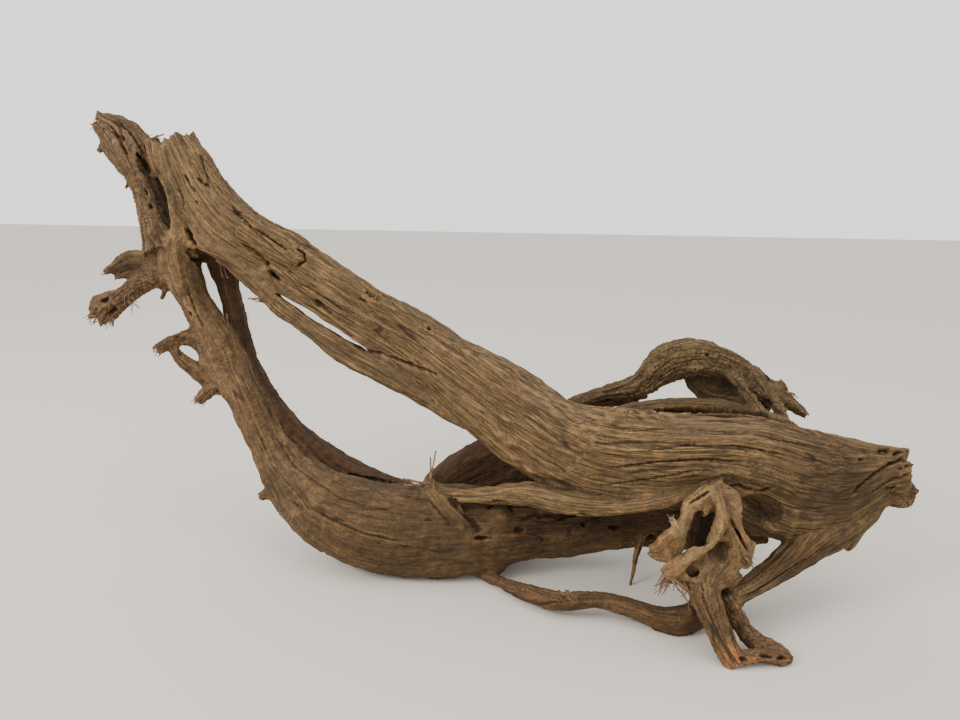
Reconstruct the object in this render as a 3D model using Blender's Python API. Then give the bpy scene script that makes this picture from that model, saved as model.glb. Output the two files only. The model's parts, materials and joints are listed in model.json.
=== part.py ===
"""A weathered mangrove root: trunk, stilt legs, arch and broken stubs grown as one solid piece.

Metres, +Z up. The root stands on its own low points at z = 0, long side along X, broad face towards -Y.
"""
import math

import bmesh
import bpy
import numpy as np

# Driving dimensions, in metres
FRAME_SHIFT = (0.0094, -0.0021, 0.0)   # brings the middle of the root's box over the origin
VOXEL = 0.0034                 # grid on which the limbs grow together
SAMPLE_STEP = 0.008            # distance between two rings along a limb
RING_POINTS = 40               # points round a ring
FLOOR_BITE = 0.0012            # what the low points lose to make flat rests
TARGET_TRIANGLES = 10400
SOFTEN_ROUNDS = 2
SOFTEN_STRENGTH = 0.5
EGG_SEGMENTS, EGG_RINGS = 24, 14

# How limbs vary. Bulges: (strength, waves round, waves a metre along, shift for each seed)
BULGES = ((0.05, 1, 23.0, 1.0), (0.04, 2, -41.0, 2.0))
RIDGE_WANDER = 0.5             # how far the grain ridges wander round the limb, in radians
RIDGE_WANDER_RATE = 11.0       # and how fast, in radians a metre
RIDGE_MIDDLE = 0.6             # the share of a ridge that stands in the limb's own size
RAGGED_REACH = 2.5             # a break is felt this many times its own depth back along the limb
BREAK_TEETH = ((0.5, 3, 1.0), (0.4, 7, 2.3))   # (strength, teeth round, shift for each seed)

# What the wood looks like, for the plain material
WOOD_COLOUR = (0.30, 0.225, 0.15, 1.0)
WOOD_ROUGHNESS = 0.85

# A limb is a row of stations: (x, y, z, half width across the broad face, half depth), in metres.
PLANK = [
    (-0.382, 0.135, 0.510, 0.024, 0.014), (-0.369, 0.130, 0.479, 0.034, 0.017),
    (-0.346, 0.125, 0.440, 0.037, 0.020), (-0.316, 0.115, 0.409, 0.038, 0.021),
    (-0.273, 0.105, 0.381, 0.038, 0.019), (-0.213, 0.095, 0.3455, 0.038, 0.018),
    (-0.143, 0.080, 0.3060, 0.038, 0.020), (-0.073, 0.065, 0.269, 0.038, 0.023),
    (-0.012, 0.045, 0.228, 0.046, 0.028), (0.043, 0.025, 0.197, 0.050, 0.033),
    (0.096, 0.000, 0.173, 0.053, 0.037), (0.150, -0.018, 0.163, 0.052, 0.040),
]
SPUR = [
    (-0.493, 0.175, 0.536, 0.012, 0.009), (-0.467, 0.165, 0.515, 0.026, 0.013),
    (-0.450, 0.155, 0.488, 0.023, 0.016), (-0.435, 0.145, 0.460, 0.015, 0.017),
    (-0.424, 0.140, 0.432, 0.015, 0.018), (-0.412, 0.132, 0.404, 0.019, 0.022),
    (-0.402, 0.125, 0.375, 0.027, 0.026),
]
TOP_WEB = [
    (-0.430, 0.152, 0.511, 0.022, 0.010), (-0.418, 0.155, 0.463, 0.019, 0.010),
    (-0.405, 0.147, 0.426, 0.019, 0.012), (-0.391, 0.137, 0.391, 0.020, 0.014),
]
SHOULDER = [
    (-0.386, 0.128, 0.394, 0.020, 0.016), (-0.356, 0.117, 0.383, 0.022, 0.018),
    (-0.328, 0.110, 0.376, 0.014, 0.014),
]
OUTER_LEG = [
    (-0.372, 0.125, 0.400, 0.024, 0.022), (-0.385, 0.124, 0.374, 0.028, 0.026),
    (-0.380, 0.120, 0.342, 0.022, 0.022), (-0.367, 0.120, 0.306, 0.019, 0.019),
    (-0.349, 0.115, 0.269, 0.026, 0.022), (-0.332, 0.110, 0.230, 0.028, 0.025),
    (-0.305, 0.100, 0.193, 0.020, 0.026), (-0.285, 0.090, 0.156, 0.022, 0.028),
    (-0.261, 0.075, 0.120, 0.027, 0.032), (-0.229, 0.055, 0.086, 0.037, 0.037),
    (-0.180, 0.028, 0.063, 0.047, 0.043), (-0.113, 0.014, 0.052, 0.055, 0.050),
    (-0.045, 0.012, 0.051, 0.054, 0.052), (0.022, 0.016, 0.052, 0.049, 0.048),
    (0.085, 0.026, 0.051, 0.039, 0.040), (0.154, 0.030, 0.054, 0.032, 0.034),
    (0.216, 0.024, 0.057, 0.028, 0.028), (0.258, 0.000, 0.067, 0.027, 0.024),
    (0.295, -0.016, 0.078, 0.030, 0.022), (0.337, -0.025, 0.088, 0.029, 0.020),
]
INNER_LEG = [
    (-0.345, 0.140, 0.385, 0.024, 0.016), (-0.339, 0.146, 0.364, 0.022, 0.016),
    (-0.336, 0.150, 0.330, 0.016, 0.014), (-0.328, 0.145, 0.294, 0.015, 0.014),
    (-0.321, 0.140, 0.257, 0.016, 0.015), (-0.311, 0.130, 0.222, 0.017, 0.017),
    (-0.287, 0.120, 0.183, 0.019, 0.018), (-0.253, 0.110, 0.145, 0.019, 0.019),
    (-0.206, 0.095, 0.112, 0.018, 0.018), (-0.152, 0.080, 0.093, 0.014, 0.017),
    (-0.097, 0.060, 0.086, 0.012, 0.015),
]
SPLIT_STRIP = [
    (-0.339, 0.115, 0.379, 0.012, 0.011), (-0.311, 0.110, 0.364, 0.012, 0.011),
    (-0.283, 0.100, 0.343, 0.012, 0.011), (-0.256, 0.095, 0.317, 0.012, 0.011),
    (-0.224, 0.090, 0.293, 0.011, 0.011), (-0.193, 0.085, 0.270, 0.011, 0.012),
    (-0.160, 0.080, 0.252, 0.012, 0.013), (-0.112, 0.070, 0.232, 0.014, 0.015),
    (-0.061, 0.060, 0.208, 0.016, 0.018), (-0.010, 0.045, 0.187, 0.018, 0.020),
]
TRUNK = [
    (0.060, 0.010, 0.180, 0.042, 0.030), (0.100, -0.004, 0.170, 0.050, 0.036),
    (0.145, -0.022, 0.164, 0.053, 0.041), (0.200, -0.034, 0.168, 0.050, 0.042),
    (0.248, -0.040, 0.173, 0.047, 0.042), (0.299, -0.045, 0.163, 0.056, 0.040),
    (0.350, -0.050, 0.144, 0.064, 0.036), (0.394, -0.050, 0.142, 0.057, 0.031),
    (0.427, -0.050, 0.153, 0.040, 0.026), (0.450, -0.050, 0.161, 0.029, 0.021),
    (0.472, -0.050, 0.162, 0.026, 0.016),
]
STRUT = [
    (0.425, -0.050, 0.122, 0.026, 0.020), (0.405, -0.055, 0.106, 0.026, 0.021),
    (0.378, -0.065, 0.089, 0.021, 0.020), (0.346, -0.082, 0.071, 0.015, 0.017),
    (0.309, -0.102, 0.058, 0.012, 0.014), (0.268, -0.130, 0.052, 0.010, 0.010),
]
REAR_LIMB = [
    (-0.052, 0.152, -0.004, 0.024, 0.020), (-0.052, 0.143, 0.025, 0.026, 0.021),
    (-0.045, 0.127, 0.050, 0.034, 0.022), (-0.014, 0.110, 0.076, 0.040, 0.023),
    (0.040, 0.104, 0.106, 0.046, 0.022), (0.091, 0.095, 0.142, 0.043, 0.017),
    (0.127, 0.085, 0.193, 0.010, 0.010), (0.154, 0.085, 0.207, 0.008, 0.010),
    (0.187, 0.090, 0.212, 0.013, 0.012), (0.209, 0.090, 0.222, 0.017, 0.014),
    (0.225, 0.090, 0.238, 0.022, 0.016), (0.244, 0.090, 0.250, 0.024, 0.018),
    (0.274, 0.086, 0.257, 0.022, 0.019), (0.304, 0.081, 0.252, 0.021, 0.018),
    (0.333, 0.074, 0.238, 0.018, 0.016), (0.360, 0.066, 0.223, 0.015, 0.013),
    (0.384, 0.060, 0.209, 0.010, 0.009), (0.404, 0.055, 0.195, 0.005, 0.005),
]
ARCH_SILL = [
    (0.130, 0.030, 0.188, 0.010, 0.016), (0.154, 0.038, 0.194, 0.010, 0.016),
    (0.197, 0.040, 0.200, 0.014, 0.020), (0.247, 0.042, 0.203, 0.017, 0.022),
    (0.288, 0.036, 0.207, 0.018, 0.024), (0.322, 0.025, 0.203, 0.016, 0.022),
    (0.354, 0.005, 0.193, 0.013, 0.018), (0.372, -0.015, 0.180, 0.012, 0.016),
]
ARCH_PILLAR = [
    (0.322, 0.078, 0.240, 0.010, 0.010), (0.331, 0.066, 0.226, 0.010, 0.010),
    (0.341, 0.052, 0.212, 0.009, 0.010), (0.352, 0.034, 0.202, 0.009, 0.010),
    (0.364, 0.012, 0.192, 0.009, 0.010),
]
ARCH_BACK = [
    (0.262, 0.100, 0.228, 0.007, 0.007), (0.286, 0.104, 0.216, 0.012, 0.008),
    (0.313, 0.102, 0.213, 0.016, 0.008), (0.345, 0.088, 0.212, 0.014, 0.009),
    (0.362, 0.066, 0.214, 0.010, 0.008),
]
ARCH_BACK_LEFT = [
    (0.135, 0.092, 0.192, 0.006, 0.006), (0.165, 0.098, 0.194, 0.008, 0.007),
    (0.192, 0.100, 0.198, 0.008, 0.007), (0.217, 0.096, 0.205, 0.006, 0.006),
]
LIP = [
    (-0.060, -0.004, 0.112, 0.007, 0.009), (-0.027, -0.012, 0.108, 0.008, 0.010),
    (0.014, -0.017, 0.111, 0.009, 0.013), (0.060, -0.030, 0.119, 0.014, 0.018),
    (0.104, -0.050, 0.119, 0.012, 0.018), (0.158, -0.062, 0.122, 0.009, 0.013),
    (0.209, -0.072, 0.137, 0.008, 0.012), (0.251, -0.076, 0.158, 0.007, 0.010),
]
FRONT_LOBE = [
    (0.262, -0.076, 0.168, 0.008, 0.009), (0.240, -0.094, 0.155, 0.014, 0.010),
    (0.226, -0.100, 0.141, 0.016, 0.010), (0.214, -0.096, 0.120, 0.011, 0.010),
    (0.206, -0.082, 0.093, 0.012, 0.011), (0.200, -0.060, 0.071, 0.014, 0.013),
    (0.196, -0.020, 0.064, 0.014, 0.013),
]
FRONT_COLUMN = [
    (0.260, -0.078, 0.168, 0.008, 0.008), (0.253, -0.102, 0.151, 0.008, 0.007),
    (0.251, -0.114, 0.131, 0.008, 0.007), (0.235, -0.124, 0.110, 0.007, 0.007),
    (0.213, -0.133, 0.097, 0.007, 0.007), (0.190, -0.138, 0.086, 0.008, 0.008),
]
FRONT_POST = [
    (0.270, -0.076, 0.156, 0.008, 0.008), (0.274, -0.098, 0.142, 0.010, 0.008),
    (0.280, -0.109, 0.123, 0.012, 0.009), (0.285, -0.114, 0.104, 0.012, 0.009),
    (0.288, -0.114, 0.086, 0.010, 0.008),
]
FRONT_CUP = [
    (0.256, -0.108, 0.126, 0.009, 0.006), (0.260, -0.112, 0.106, 0.018, 0.007),
    (0.254, -0.119, 0.090, 0.023, 0.009), (0.238, -0.129, 0.078, 0.021, 0.012),
    (0.234, -0.132, 0.062, 0.018, 0.014),
]
FRONT_LEG = [
    (0.232, -0.128, 0.084, 0.019, 0.014), (0.234, -0.140, 0.067, 0.017, 0.014),
    (0.242, -0.150, 0.046, 0.014, 0.013), (0.251, -0.161, 0.024, 0.013, 0.012),
    (0.259, -0.168, 0.010, 0.013, 0.011), (0.264, -0.171, 0.001, 0.012, 0.011),
]
TOE = [
    (0.262, -0.170, 0.008, 0.009, 0.009), (0.284, -0.167, 0.011, 0.007, 0.009),
    (0.304, -0.165, 0.008, 0.008, 0.009), (0.325, -0.162, 0.006, 0.006, 0.007),
]
BACK_STRUT = [
    (0.256, -0.132, 0.058, 0.008, 0.008), (0.274, -0.138, 0.034, 0.006, 0.007),
    (0.287, -0.146, 0.019, 0.006, 0.007), (0.300, -0.154, 0.012, 0.006, 0.007),
    (0.313, -0.161, 0.008, 0.006, 0.007),
]
FLOOR_ROOT = [
    (-0.012, 0.005, 0.008, 0.006, 0.008), (0.005, -0.012, 0.007, 0.006, 0.007),
    (0.028, -0.035, 0.009, 0.008, 0.008), (0.062, -0.065, 0.013, 0.010, 0.009),
    (0.093, -0.088, 0.018, 0.010, 0.009), (0.137, -0.092, 0.023, 0.010, 0.009),
    (0.169, -0.100, 0.019, 0.011, 0.010), (0.196, -0.110, 0.014, 0.013, 0.012),
    (0.223, -0.114, 0.014, 0.016, 0.013), (0.246, -0.104, 0.021, 0.014, 0.012),
    (0.258, -0.098, 0.038, 0.010, 0.010), (0.258, -0.115, 0.054, 0.009, 0.009),
]
STUB_UPPER = [
    (-0.400, 0.125, 0.362, 0.026, 0.020), (-0.427, 0.124, 0.364, 0.017, 0.015),
    (-0.451, 0.120, 0.356, 0.010, 0.010), (-0.478, 0.115, 0.348, 0.006, 0.006),
]
STUB_LOWER = [
    (-0.398, 0.122, 0.352, 0.024, 0.020), (-0.438, 0.115, 0.339, 0.019, 0.017),
    (-0.460, 0.110, 0.323, 0.016, 0.016), (-0.479, 0.105, 0.307, 0.017, 0.015),
    (-0.488, 0.101, 0.295, 0.015, 0.012),
]
STUB_WEB = [
    (-0.395, 0.126, 0.362, 0.032, 0.018), (-0.426, 0.120, 0.356, 0.026, 0.012),
    (-0.448, 0.116, 0.346, 0.020, 0.010), (-0.464, 0.112, 0.336, 0.010, 0.008),
]
STUB_MIDDLE = [
    (-0.350, 0.112, 0.260, 0.016, 0.014), (-0.373, 0.106, 0.267, 0.010, 0.009),
    (-0.395, 0.100, 0.264, 0.007, 0.007), (-0.412, 0.095, 0.252, 0.006, 0.006),
]
STUB_MIDDLE_STAY = [
    (-0.398, 0.100, 0.261, 0.005, 0.005), (-0.383, 0.100, 0.238, 0.006, 0.006),
    (-0.356, 0.105, 0.214, 0.010, 0.009), (-0.335, 0.108, 0.200, 0.010, 0.010),
]
STUB_SMALL = [
    (-0.325, 0.102, 0.208, 0.011, 0.010), (-0.345, 0.095, 0.203, 0.007, 0.007),
    (-0.355, 0.090, 0.195, 0.007, 0.007), (-0.361, 0.086, 0.187, 0.005, 0.005),
]
STUB_BARK = [
    (-0.245, 0.058, 0.080, 0.012, 0.012), (-0.267, 0.054, 0.076, 0.009, 0.009),
    (-0.278, 0.050, 0.073, 0.006, 0.006),
]
CROSSING_ROOT = [
    (-0.062, -0.004, 0.116, 0.011, 0.010), (-0.046, -0.020, 0.101, 0.010, 0.011),
    (-0.026, -0.032, 0.082, 0.010, 0.011), (-0.007, -0.036, 0.060, 0.010, 0.011),
    (0.014, -0.030, 0.036, 0.011, 0.012),
]
HANGING_TIP = [
    (0.190, 0.005, 0.062, 0.007, 0.007), (0.190, -0.003, 0.040, 0.0055, 0.0055),
    (0.187, -0.006, 0.010, 0.004, 0.004),
]


def limb(stations, squareness=2.0, turn=0.0, ridges=0, ridge_depth=0.0, ragged=0.0, seed=0):
    """What one limb is made from. turn leans its section, ragged breaks its last end, both by formula."""
    return {"stations": stations, "squareness": squareness, "turn": math.radians(turn),
            "ridges": ridges, "ridge_depth": ridge_depth, "ragged": ragged, "seed": seed}


LIMBS = {
    "plank": limb(PLANK, squareness=3.2, turn=-14, ridges=13, ridge_depth=0.0028, seed=1),
    "spur": limb(SPUR[::-1], squareness=2.4, ridges=7, ridge_depth=0.0022, ragged=0.016, seed=2),
    "top_web": limb(TOP_WEB, squareness=2.4, seed=27),
    "shoulder": limb(SHOULDER, seed=32),
    "outer_leg": limb(OUTER_LEG, squareness=2.2, ridges=9, ridge_depth=0.0030, seed=3),
    "inner_leg": limb(INNER_LEG, ridges=6, ridge_depth=0.0012, seed=4),
    "split_strip": limb(SPLIT_STRIP, squareness=2.6, ridges=5, ridge_depth=0.0010, seed=5),
    "trunk": limb(TRUNK, squareness=2.9, turn=-6, ridges=15, ridge_depth=0.0034, ragged=0.020, seed=6),
    "strut": limb(STRUT, squareness=2.3, ridges=6, ridge_depth=0.0024, seed=7),
    "rear_limb": limb(REAR_LIMB, squareness=2.2, ridges=7, ridge_depth=0.0020, ragged=0.008, seed=8),
    "arch_sill": limb(ARCH_SILL, seed=9),
    "arch_pillar": limb(ARCH_PILLAR, seed=10),
    "arch_back": limb(ARCH_BACK, seed=11),
    "arch_back_left": limb(ARCH_BACK_LEFT, seed=28),
    "lip": limb(LIP, seed=29),
    "front_lobe": limb(FRONT_LOBE, seed=12),
    "front_column": limb(FRONT_COLUMN, seed=13),
    "front_post": limb(FRONT_POST, ragged=0.008, seed=14),
    "front_cup": limb(FRONT_CUP, seed=15),
    "front_leg": limb(FRONT_LEG, ridges=5, ridge_depth=0.0010, seed=16),
    "toe": limb(TOE, ragged=0.005, seed=17),
    "back_strut": limb(BACK_STRUT, seed=18),
    "floor_root": limb(FLOOR_ROOT, ridges=4, ridge_depth=0.0008, seed=19),
    "stub_upper": limb(STUB_UPPER, seed=20),
    "stub_lower": limb(STUB_LOWER, ridges=5, ridge_depth=0.0014, ragged=0.014, seed=21),
    "stub_web": limb(STUB_WEB, seed=30),
    "stub_bark": limb(STUB_BARK, ragged=0.005, seed=31),
    "stub_middle": limb(STUB_MIDDLE, ragged=0.006, seed=22),
    "stub_middle_stay": limb(STUB_MIDDLE_STAY, seed=23),
    "stub_small": limb(STUB_SMALL, ragged=0.006, seed=24),
    "crossing_root": limb(CROSSING_ROOT, seed=25),
    "hanging_tip": limb(HANGING_TIP, seed=26),
}

# A hollow is an egg cut out of the wood: (centre, half sizes, turn in degrees about X and then about Y)
HOLLOWS = {
    "top_hollow": ((-0.405, 0.112, 0.427), (0.009, 0.024, 0.036), (0, -20)),
    "plank_slit": ((-0.195, 0.090, 0.292), (0.074, 0.045, 0.0048), (-11, 32)),
    "trunk_eye": ((0.325, -0.092, 0.126), (0.030, 0.022, 0.026), (0, 30)),
    "belly_dip": ((0.052, -0.045, 0.078), (0.038, 0.024, 0.022), (0, 0)),
}


def clear_scene():
    for item in list(bpy.data.objects):
        bpy.data.objects.remove(item, do_unlink=True)


def smooth_route(stations):
    """Catmull-Rom rows through the stations, about SAMPLE_STEP apart."""
    rows = np.array(stations, dtype=float)
    padded = np.vstack([2 * rows[0] - rows[1], rows, 2 * rows[-1] - rows[-2]])
    route = []
    for before, start, end, after in zip(padded, padded[1:], padded[2:], padded[3:]):
        count = max(2, int(round(np.linalg.norm(end[:3] - start[:3]) / SAMPLE_STEP)))
        for t in np.arange(count) / count:
            route.append(0.5 * (2 * start + (end - before) * t
                                + (2 * before - 5 * start + 4 * end - after) * t ** 2
                                + (3 * start - before - 3 * end + after) * t ** 3))
    route.append(rows[-1])
    return np.array(route)


def limb_axes(centre, turn):
    """Unit vectors along the limb, across its broad face and through it, one row for each ring."""
    tangent = np.gradient(centre, axis=0)
    tangent /= np.linalg.norm(tangent, axis=1)[:, None]
    depth_axis = np.array([0.0, 1.0, 0.0]) - tangent * tangent[:, 1:2]
    depth_axis /= np.linalg.norm(depth_axis, axis=1)[:, None]
    width_axis = np.cross(tangent, depth_axis)
    leaning_width = math.cos(turn) * width_axis + math.sin(turn) * depth_axis
    leaning_depth = math.cos(turn) * depth_axis - math.sin(turn) * width_axis
    return tangent, leaning_width, leaning_depth


def signed_power(value, power):
    return np.sign(value) * np.abs(value) ** power


def uneven_size(angle, along, seed):
    """Slow bulges and dents of a limb, as a factor on its section."""
    factor = 1.0
    for strength, waves_round, waves_along, seed_step in BULGES:
        factor = factor + strength * np.sin(waves_round * angle + waves_along * along + seed_step * seed)
    return factor


def ridge_height(spec, angle, along):
    """Rounded grain ridges with sharp grooves between them, which wander slowly round the limb."""
    wander = RIDGE_WANDER * np.sin(RIDGE_WANDER_RATE * along + spec["seed"])
    crest = np.abs(np.sin(0.5 * spec["ridges"] * angle + wander))
    return spec["ridge_depth"] * (crest - RIDGE_MIDDLE)


def broken_end(spec, angle, left_to_end):
    """How far each point near the last ring moves along the limb, for a ragged break."""
    near_end = np.clip(1.0 - left_to_end / (RAGGED_REACH * spec["ragged"]), 0.0, 1.0)
    teeth = 0.0
    for strength, count, seed_step in BREAK_TEETH:
        teeth = teeth + strength * np.sin(count * angle + seed_step * spec["seed"])
    return spec["ragged"] * near_end * teeth


def limb_rings(spec):
    """Rings of points along a limb, as an array of rings x points x 3."""
    route = smooth_route(spec["stations"])
    centre = route[:, :3] + np.array(FRAME_SHIFT)
    half_width, half_depth = route[:, 3:4], route[:, 4:5]
    tangent, width_axis, depth_axis = limb_axes(centre, spec["turn"])
    steps = np.linalg.norm(np.diff(centre, axis=0), axis=1)
    along = np.concatenate([[0.0], np.cumsum(steps)])[:, None]
    angle = np.linspace(0.0, 2 * math.pi, RING_POINTS, endpoint=False)[None, :]

    size = uneven_size(angle, along, spec["seed"])
    if spec["ridges"]:
        size = size * (1.0 + ridge_height(spec, angle, along) / np.minimum(half_width, half_depth))
    across = signed_power(np.cos(angle), 2.0 / spec["squareness"]) * size * half_width
    deep = signed_power(np.sin(angle), 2.0 / spec["squareness"]) * size * half_depth
    rings = centre[:, None, :] + across[..., None] * width_axis[:, None, :]
    rings = rings + deep[..., None] * depth_axis[:, None, :]
    if spec["ragged"]:
        shift = broken_end(spec, angle, along[-1] - along)
        rings = rings + shift[..., None] * tangent[:, None, :]
    return rings


def add_tube(rings, vertices, faces):
    """Add the closed skin of one limb to the lists of vertices and faces."""
    first = len(vertices)
    count, around = rings.shape[:2]
    vertices.extend(rings.reshape(-1, 3).tolist())
    for ring in range(count - 1):
        for point in range(around):
            a = first + ring * around + point
            b = first + ring * around + (point + 1) % around
            faces.append((a, b, b + around, a + around))
    for ring, flip in ((0, True), (count - 1, False)):
        hub = len(vertices)
        vertices.append(rings[ring].mean(axis=0).tolist())
        start = first + ring * around
        for point in range(around):
            pair = (start + point, start + (point + 1) % around)
            faces.append((hub,) + (pair[::-1] if flip else pair))


def bare_limbs():
    """All limbs as overlapping closed tubes in one mesh."""
    vertices, faces = [], []
    for spec in LIMBS.values():
        add_tube(limb_rings(spec), vertices, faces)
    mesh = bpy.data.meshes.new("mangrove_root")
    mesh.from_pydata(vertices, [], faces)
    mesh.update()
    root = bpy.data.objects.new("mangrove_root", mesh)
    bpy.context.scene.collection.objects.link(root)
    return root


def hollow_cutters():
    """The eggs that are cut out of the wood, in a collection of their own."""
    cutters = bpy.data.collections.new("hollows")
    bpy.context.scene.collection.children.link(cutters)
    for name, (centre, half_sizes, (turn_x, turn_y)) in HOLLOWS.items():
        bpy.ops.mesh.primitive_uv_sphere_add(segments=EGG_SEGMENTS, ring_count=EGG_RINGS, radius=1.0)
        egg = bpy.context.object
        egg.location = [place + shift for place, shift in zip(centre, FRAME_SHIFT)]
        egg.rotation_euler = (math.radians(turn_x), math.radians(turn_y), 0.0)
        egg.name = name
        egg.scale = half_sizes
        egg.hide_render = True
        egg.display_type = "WIRE"
        for holder in list(egg.users_collection):
            holder.objects.unlink(egg)
        cutters.objects.link(egg)
    return cutters


def add_remesh(root, name):
    remesh = root.modifiers.new(name, "REMESH")
    remesh.mode = "VOXEL"
    remesh.voxel_size = VOXEL


def apply_modifiers(root):
    """Swap the object's mesh for its evaluated one."""
    graph = bpy.context.evaluated_depsgraph_get()
    finished = bpy.data.meshes.new_from_object(root.evaluated_get(graph))
    root.modifiers.clear()
    root.data = finished


def keep_largest_body(root):
    """Drop the loose scraps that thinning can leave beside the root."""
    mesh = bmesh.new()
    mesh.from_mesh(root.data)
    unseen = set(mesh.verts)
    bodies = []
    while unseen:
        body, edge_of_body = set(), {next(iter(unseen))}
        while edge_of_body:
            body |= edge_of_body
            reached = {edge.other_vert(vert) for vert in edge_of_body for edge in vert.link_edges}
            edge_of_body = reached - body
        unseen -= body
        bodies.append(body)
    largest = max(bodies, key=len)
    scraps = [vert for body in bodies if body is not largest for vert in body]
    bmesh.ops.delete(mesh, geom=scraps, context="VERTS")
    mesh.to_mesh(root.data)
    mesh.free()


def flatten_rests(root, height):
    """Bring what lies lower than this height to z = 0, as worn flat spots."""
    for vertex in root.data.vertices:
        if vertex.co.z < height:
            vertex.co.z = 0.0


def grow_together(root, cutters):
    """Fuse the limbs, cut the hollows, soften the joins and thin the mesh."""
    add_remesh(root, "fuse limbs")
    hollow = root.modifiers.new("hollows", "BOOLEAN")
    hollow.operand_type = "COLLECTION"
    hollow.collection = cutters
    hollow.operation = "DIFFERENCE"
    add_remesh(root, "even grid")
    soften = root.modifiers.new("soften", "SMOOTH")
    soften.factor = SOFTEN_STRENGTH
    soften.iterations = SOFTEN_ROUNDS
    apply_modifiers(root)
    flatten_rests(root, 0.0)
    thin = root.modifiers.new("thin", "DECIMATE")
    thin.use_collapse_triangulate = True
    triangles = sum(len(face.vertices) - 2 for face in root.data.polygons)
    thin.ratio = min(1.0, TARGET_TRIANGLES / triangles)
    apply_modifiers(root)
    keep_largest_body(root)


def wood_material():
    material = bpy.data.materials.new("weathered_wood")
    material.use_nodes = True
    shader = material.node_tree.nodes["Principled BSDF"]
    shader.inputs["Base Color"].default_value = WOOD_COLOUR
    shader.inputs["Roughness"].default_value = WOOD_ROUGHNESS
    shader.inputs["Metallic"].default_value = 0.0
    return material


def build():
    clear_scene()
    root = bare_limbs()
    grow_together(root, hollow_cutters())
    flatten_rests(root, FLOOR_BITE)
    root.data.materials.clear()
    root.data.materials.append(wood_material())
    root.data.shade_smooth()


build()
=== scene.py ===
"""The looks of the mangrove root: grained wood, frayed ends, splinters, hairs, camera, floor and light."""

import itertools
import json
import math

import bmesh
import bpy
import numpy as np
from mathutils import Matrix, Vector
from mathutils.bvhtree import BVHTree
from mathutils.kdtree import KDTree

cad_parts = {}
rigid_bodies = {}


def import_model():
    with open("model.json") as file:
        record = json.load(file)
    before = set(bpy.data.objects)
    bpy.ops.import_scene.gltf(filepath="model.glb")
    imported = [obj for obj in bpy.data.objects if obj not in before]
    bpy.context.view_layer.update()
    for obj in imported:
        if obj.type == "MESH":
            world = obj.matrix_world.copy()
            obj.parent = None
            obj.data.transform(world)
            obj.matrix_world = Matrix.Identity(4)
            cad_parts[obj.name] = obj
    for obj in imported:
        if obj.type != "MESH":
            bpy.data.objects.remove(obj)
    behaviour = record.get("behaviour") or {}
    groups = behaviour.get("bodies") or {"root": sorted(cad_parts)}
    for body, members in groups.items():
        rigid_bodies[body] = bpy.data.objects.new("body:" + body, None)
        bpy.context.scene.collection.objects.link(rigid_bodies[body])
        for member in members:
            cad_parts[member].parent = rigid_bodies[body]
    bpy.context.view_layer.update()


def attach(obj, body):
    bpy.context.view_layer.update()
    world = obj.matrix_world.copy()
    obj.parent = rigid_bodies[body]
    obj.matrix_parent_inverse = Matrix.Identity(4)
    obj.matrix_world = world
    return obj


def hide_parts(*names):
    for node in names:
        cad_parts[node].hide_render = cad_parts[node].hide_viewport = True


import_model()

# The root's frame and the camera, in metres, degrees and pixels of the picture
FRAME_SHIFT = np.array([0.0094, -0.0021, 0.0])   # brings the middle of the root's box over the origin
CAMERA_PLACE = np.array([0.0, -0.80, 0.47])      # before that shift
CAMERA_PITCH = 14.0
CAMERA_ROLL = 1.0
PICTURE_SIZE = (960, 720)
PICTURE_FOCAL = 721.0
SENSOR_WIDTH = 36.0                    # in millimetres, as Blender has it

# How fine the wood is
SAMPLE_STEP = 0.004                    # between two rings along a limb
RING_POINTS = 72
VOXEL = 0.0015
SOFTEN_ROUNDS, SOFTEN_STRENGTH = 2, 0.5
TRIANGLES = 560000                     # what the whole body is thinned to
EGG_SEGMENTS, EGG_RINGS = 48, 24
FLOOR_BITE = 0.0012                    # what the low points lose to make flat rests
LENGTHS = ("mangrove_root_left", "mangrove_root_middle", "mangrove_root_right")
FAR = 10.0                             # past any point of the root

# How limbs vary. Bulges: (strength, waves round, waves a metre along, shift for each seed)
BULGES = ((0.05, 1, 23.0, 1.0), (0.04, 2, -41.0, 2.0))
RIDGE_WANDER, RIDGE_WANDER_RATE = 0.5, 11.0      # in radians, and in radians a metre
RIDGE_MIDDLE = 0.6                     # the share of a ridge that stands in the limb's own size
RAGGED_REACH = 2.5                     # a break is felt this many times its own depth back along the limb
BREAK_TEETH = ((0.5, 3, 1.0), (0.4, 7, 2.3), (0.25, 13, 4.1), (0.2, 23, 1.7))   # (strength, teeth, shift)

# Noise
SLOPE_COUNT, SLOPE_SEED = 64, 11
HASH_FACTORS = np.array([73856093, 19349663, 83492791], dtype=np.uint32)
HASH_SEED, HASH_START, HASH_MIX = 2654435, 97, np.uint32(2246822519)
NOISE_GAIN = 1.8

# How the limbs' grain fields meet, in metres
LIMB_REACH = 0.012                     # how far past its own skin a limb's grain is worked out
BLEND_WIDTH = 0.005
LEAST_SHARE = 1e-4                     # a limb with a smaller share in a point is passed over
TINY = 1e-9                            # keeps sums of shares and lengths from being nothing
FLATTEST_SHARE = 0.2                   # keeps the middle line of a limb from dividing by nothing
SEAM_SLOPE, SEAM_PLACE, SEAM_PULL = 0.6, 0.009, 3.0   # the seam stands at x = slope * z + place
JOINT_REACH = 0.006                    # how near two limbs' skins lie where their joint is rounded
JOINT_ROUNDS, JOINT_STRENGTH = 14, 0.6
BOUND_ROUNDS = 4                       # how softly the grain's lines fade where two limbs meet
GRAIN_STEP = np.array([0.5, 0.3, 1.0])           # sets each limb's grain apart from the others'
SEED_STEP = 10
CHUNK = 20000                          # points measured at a time

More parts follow.
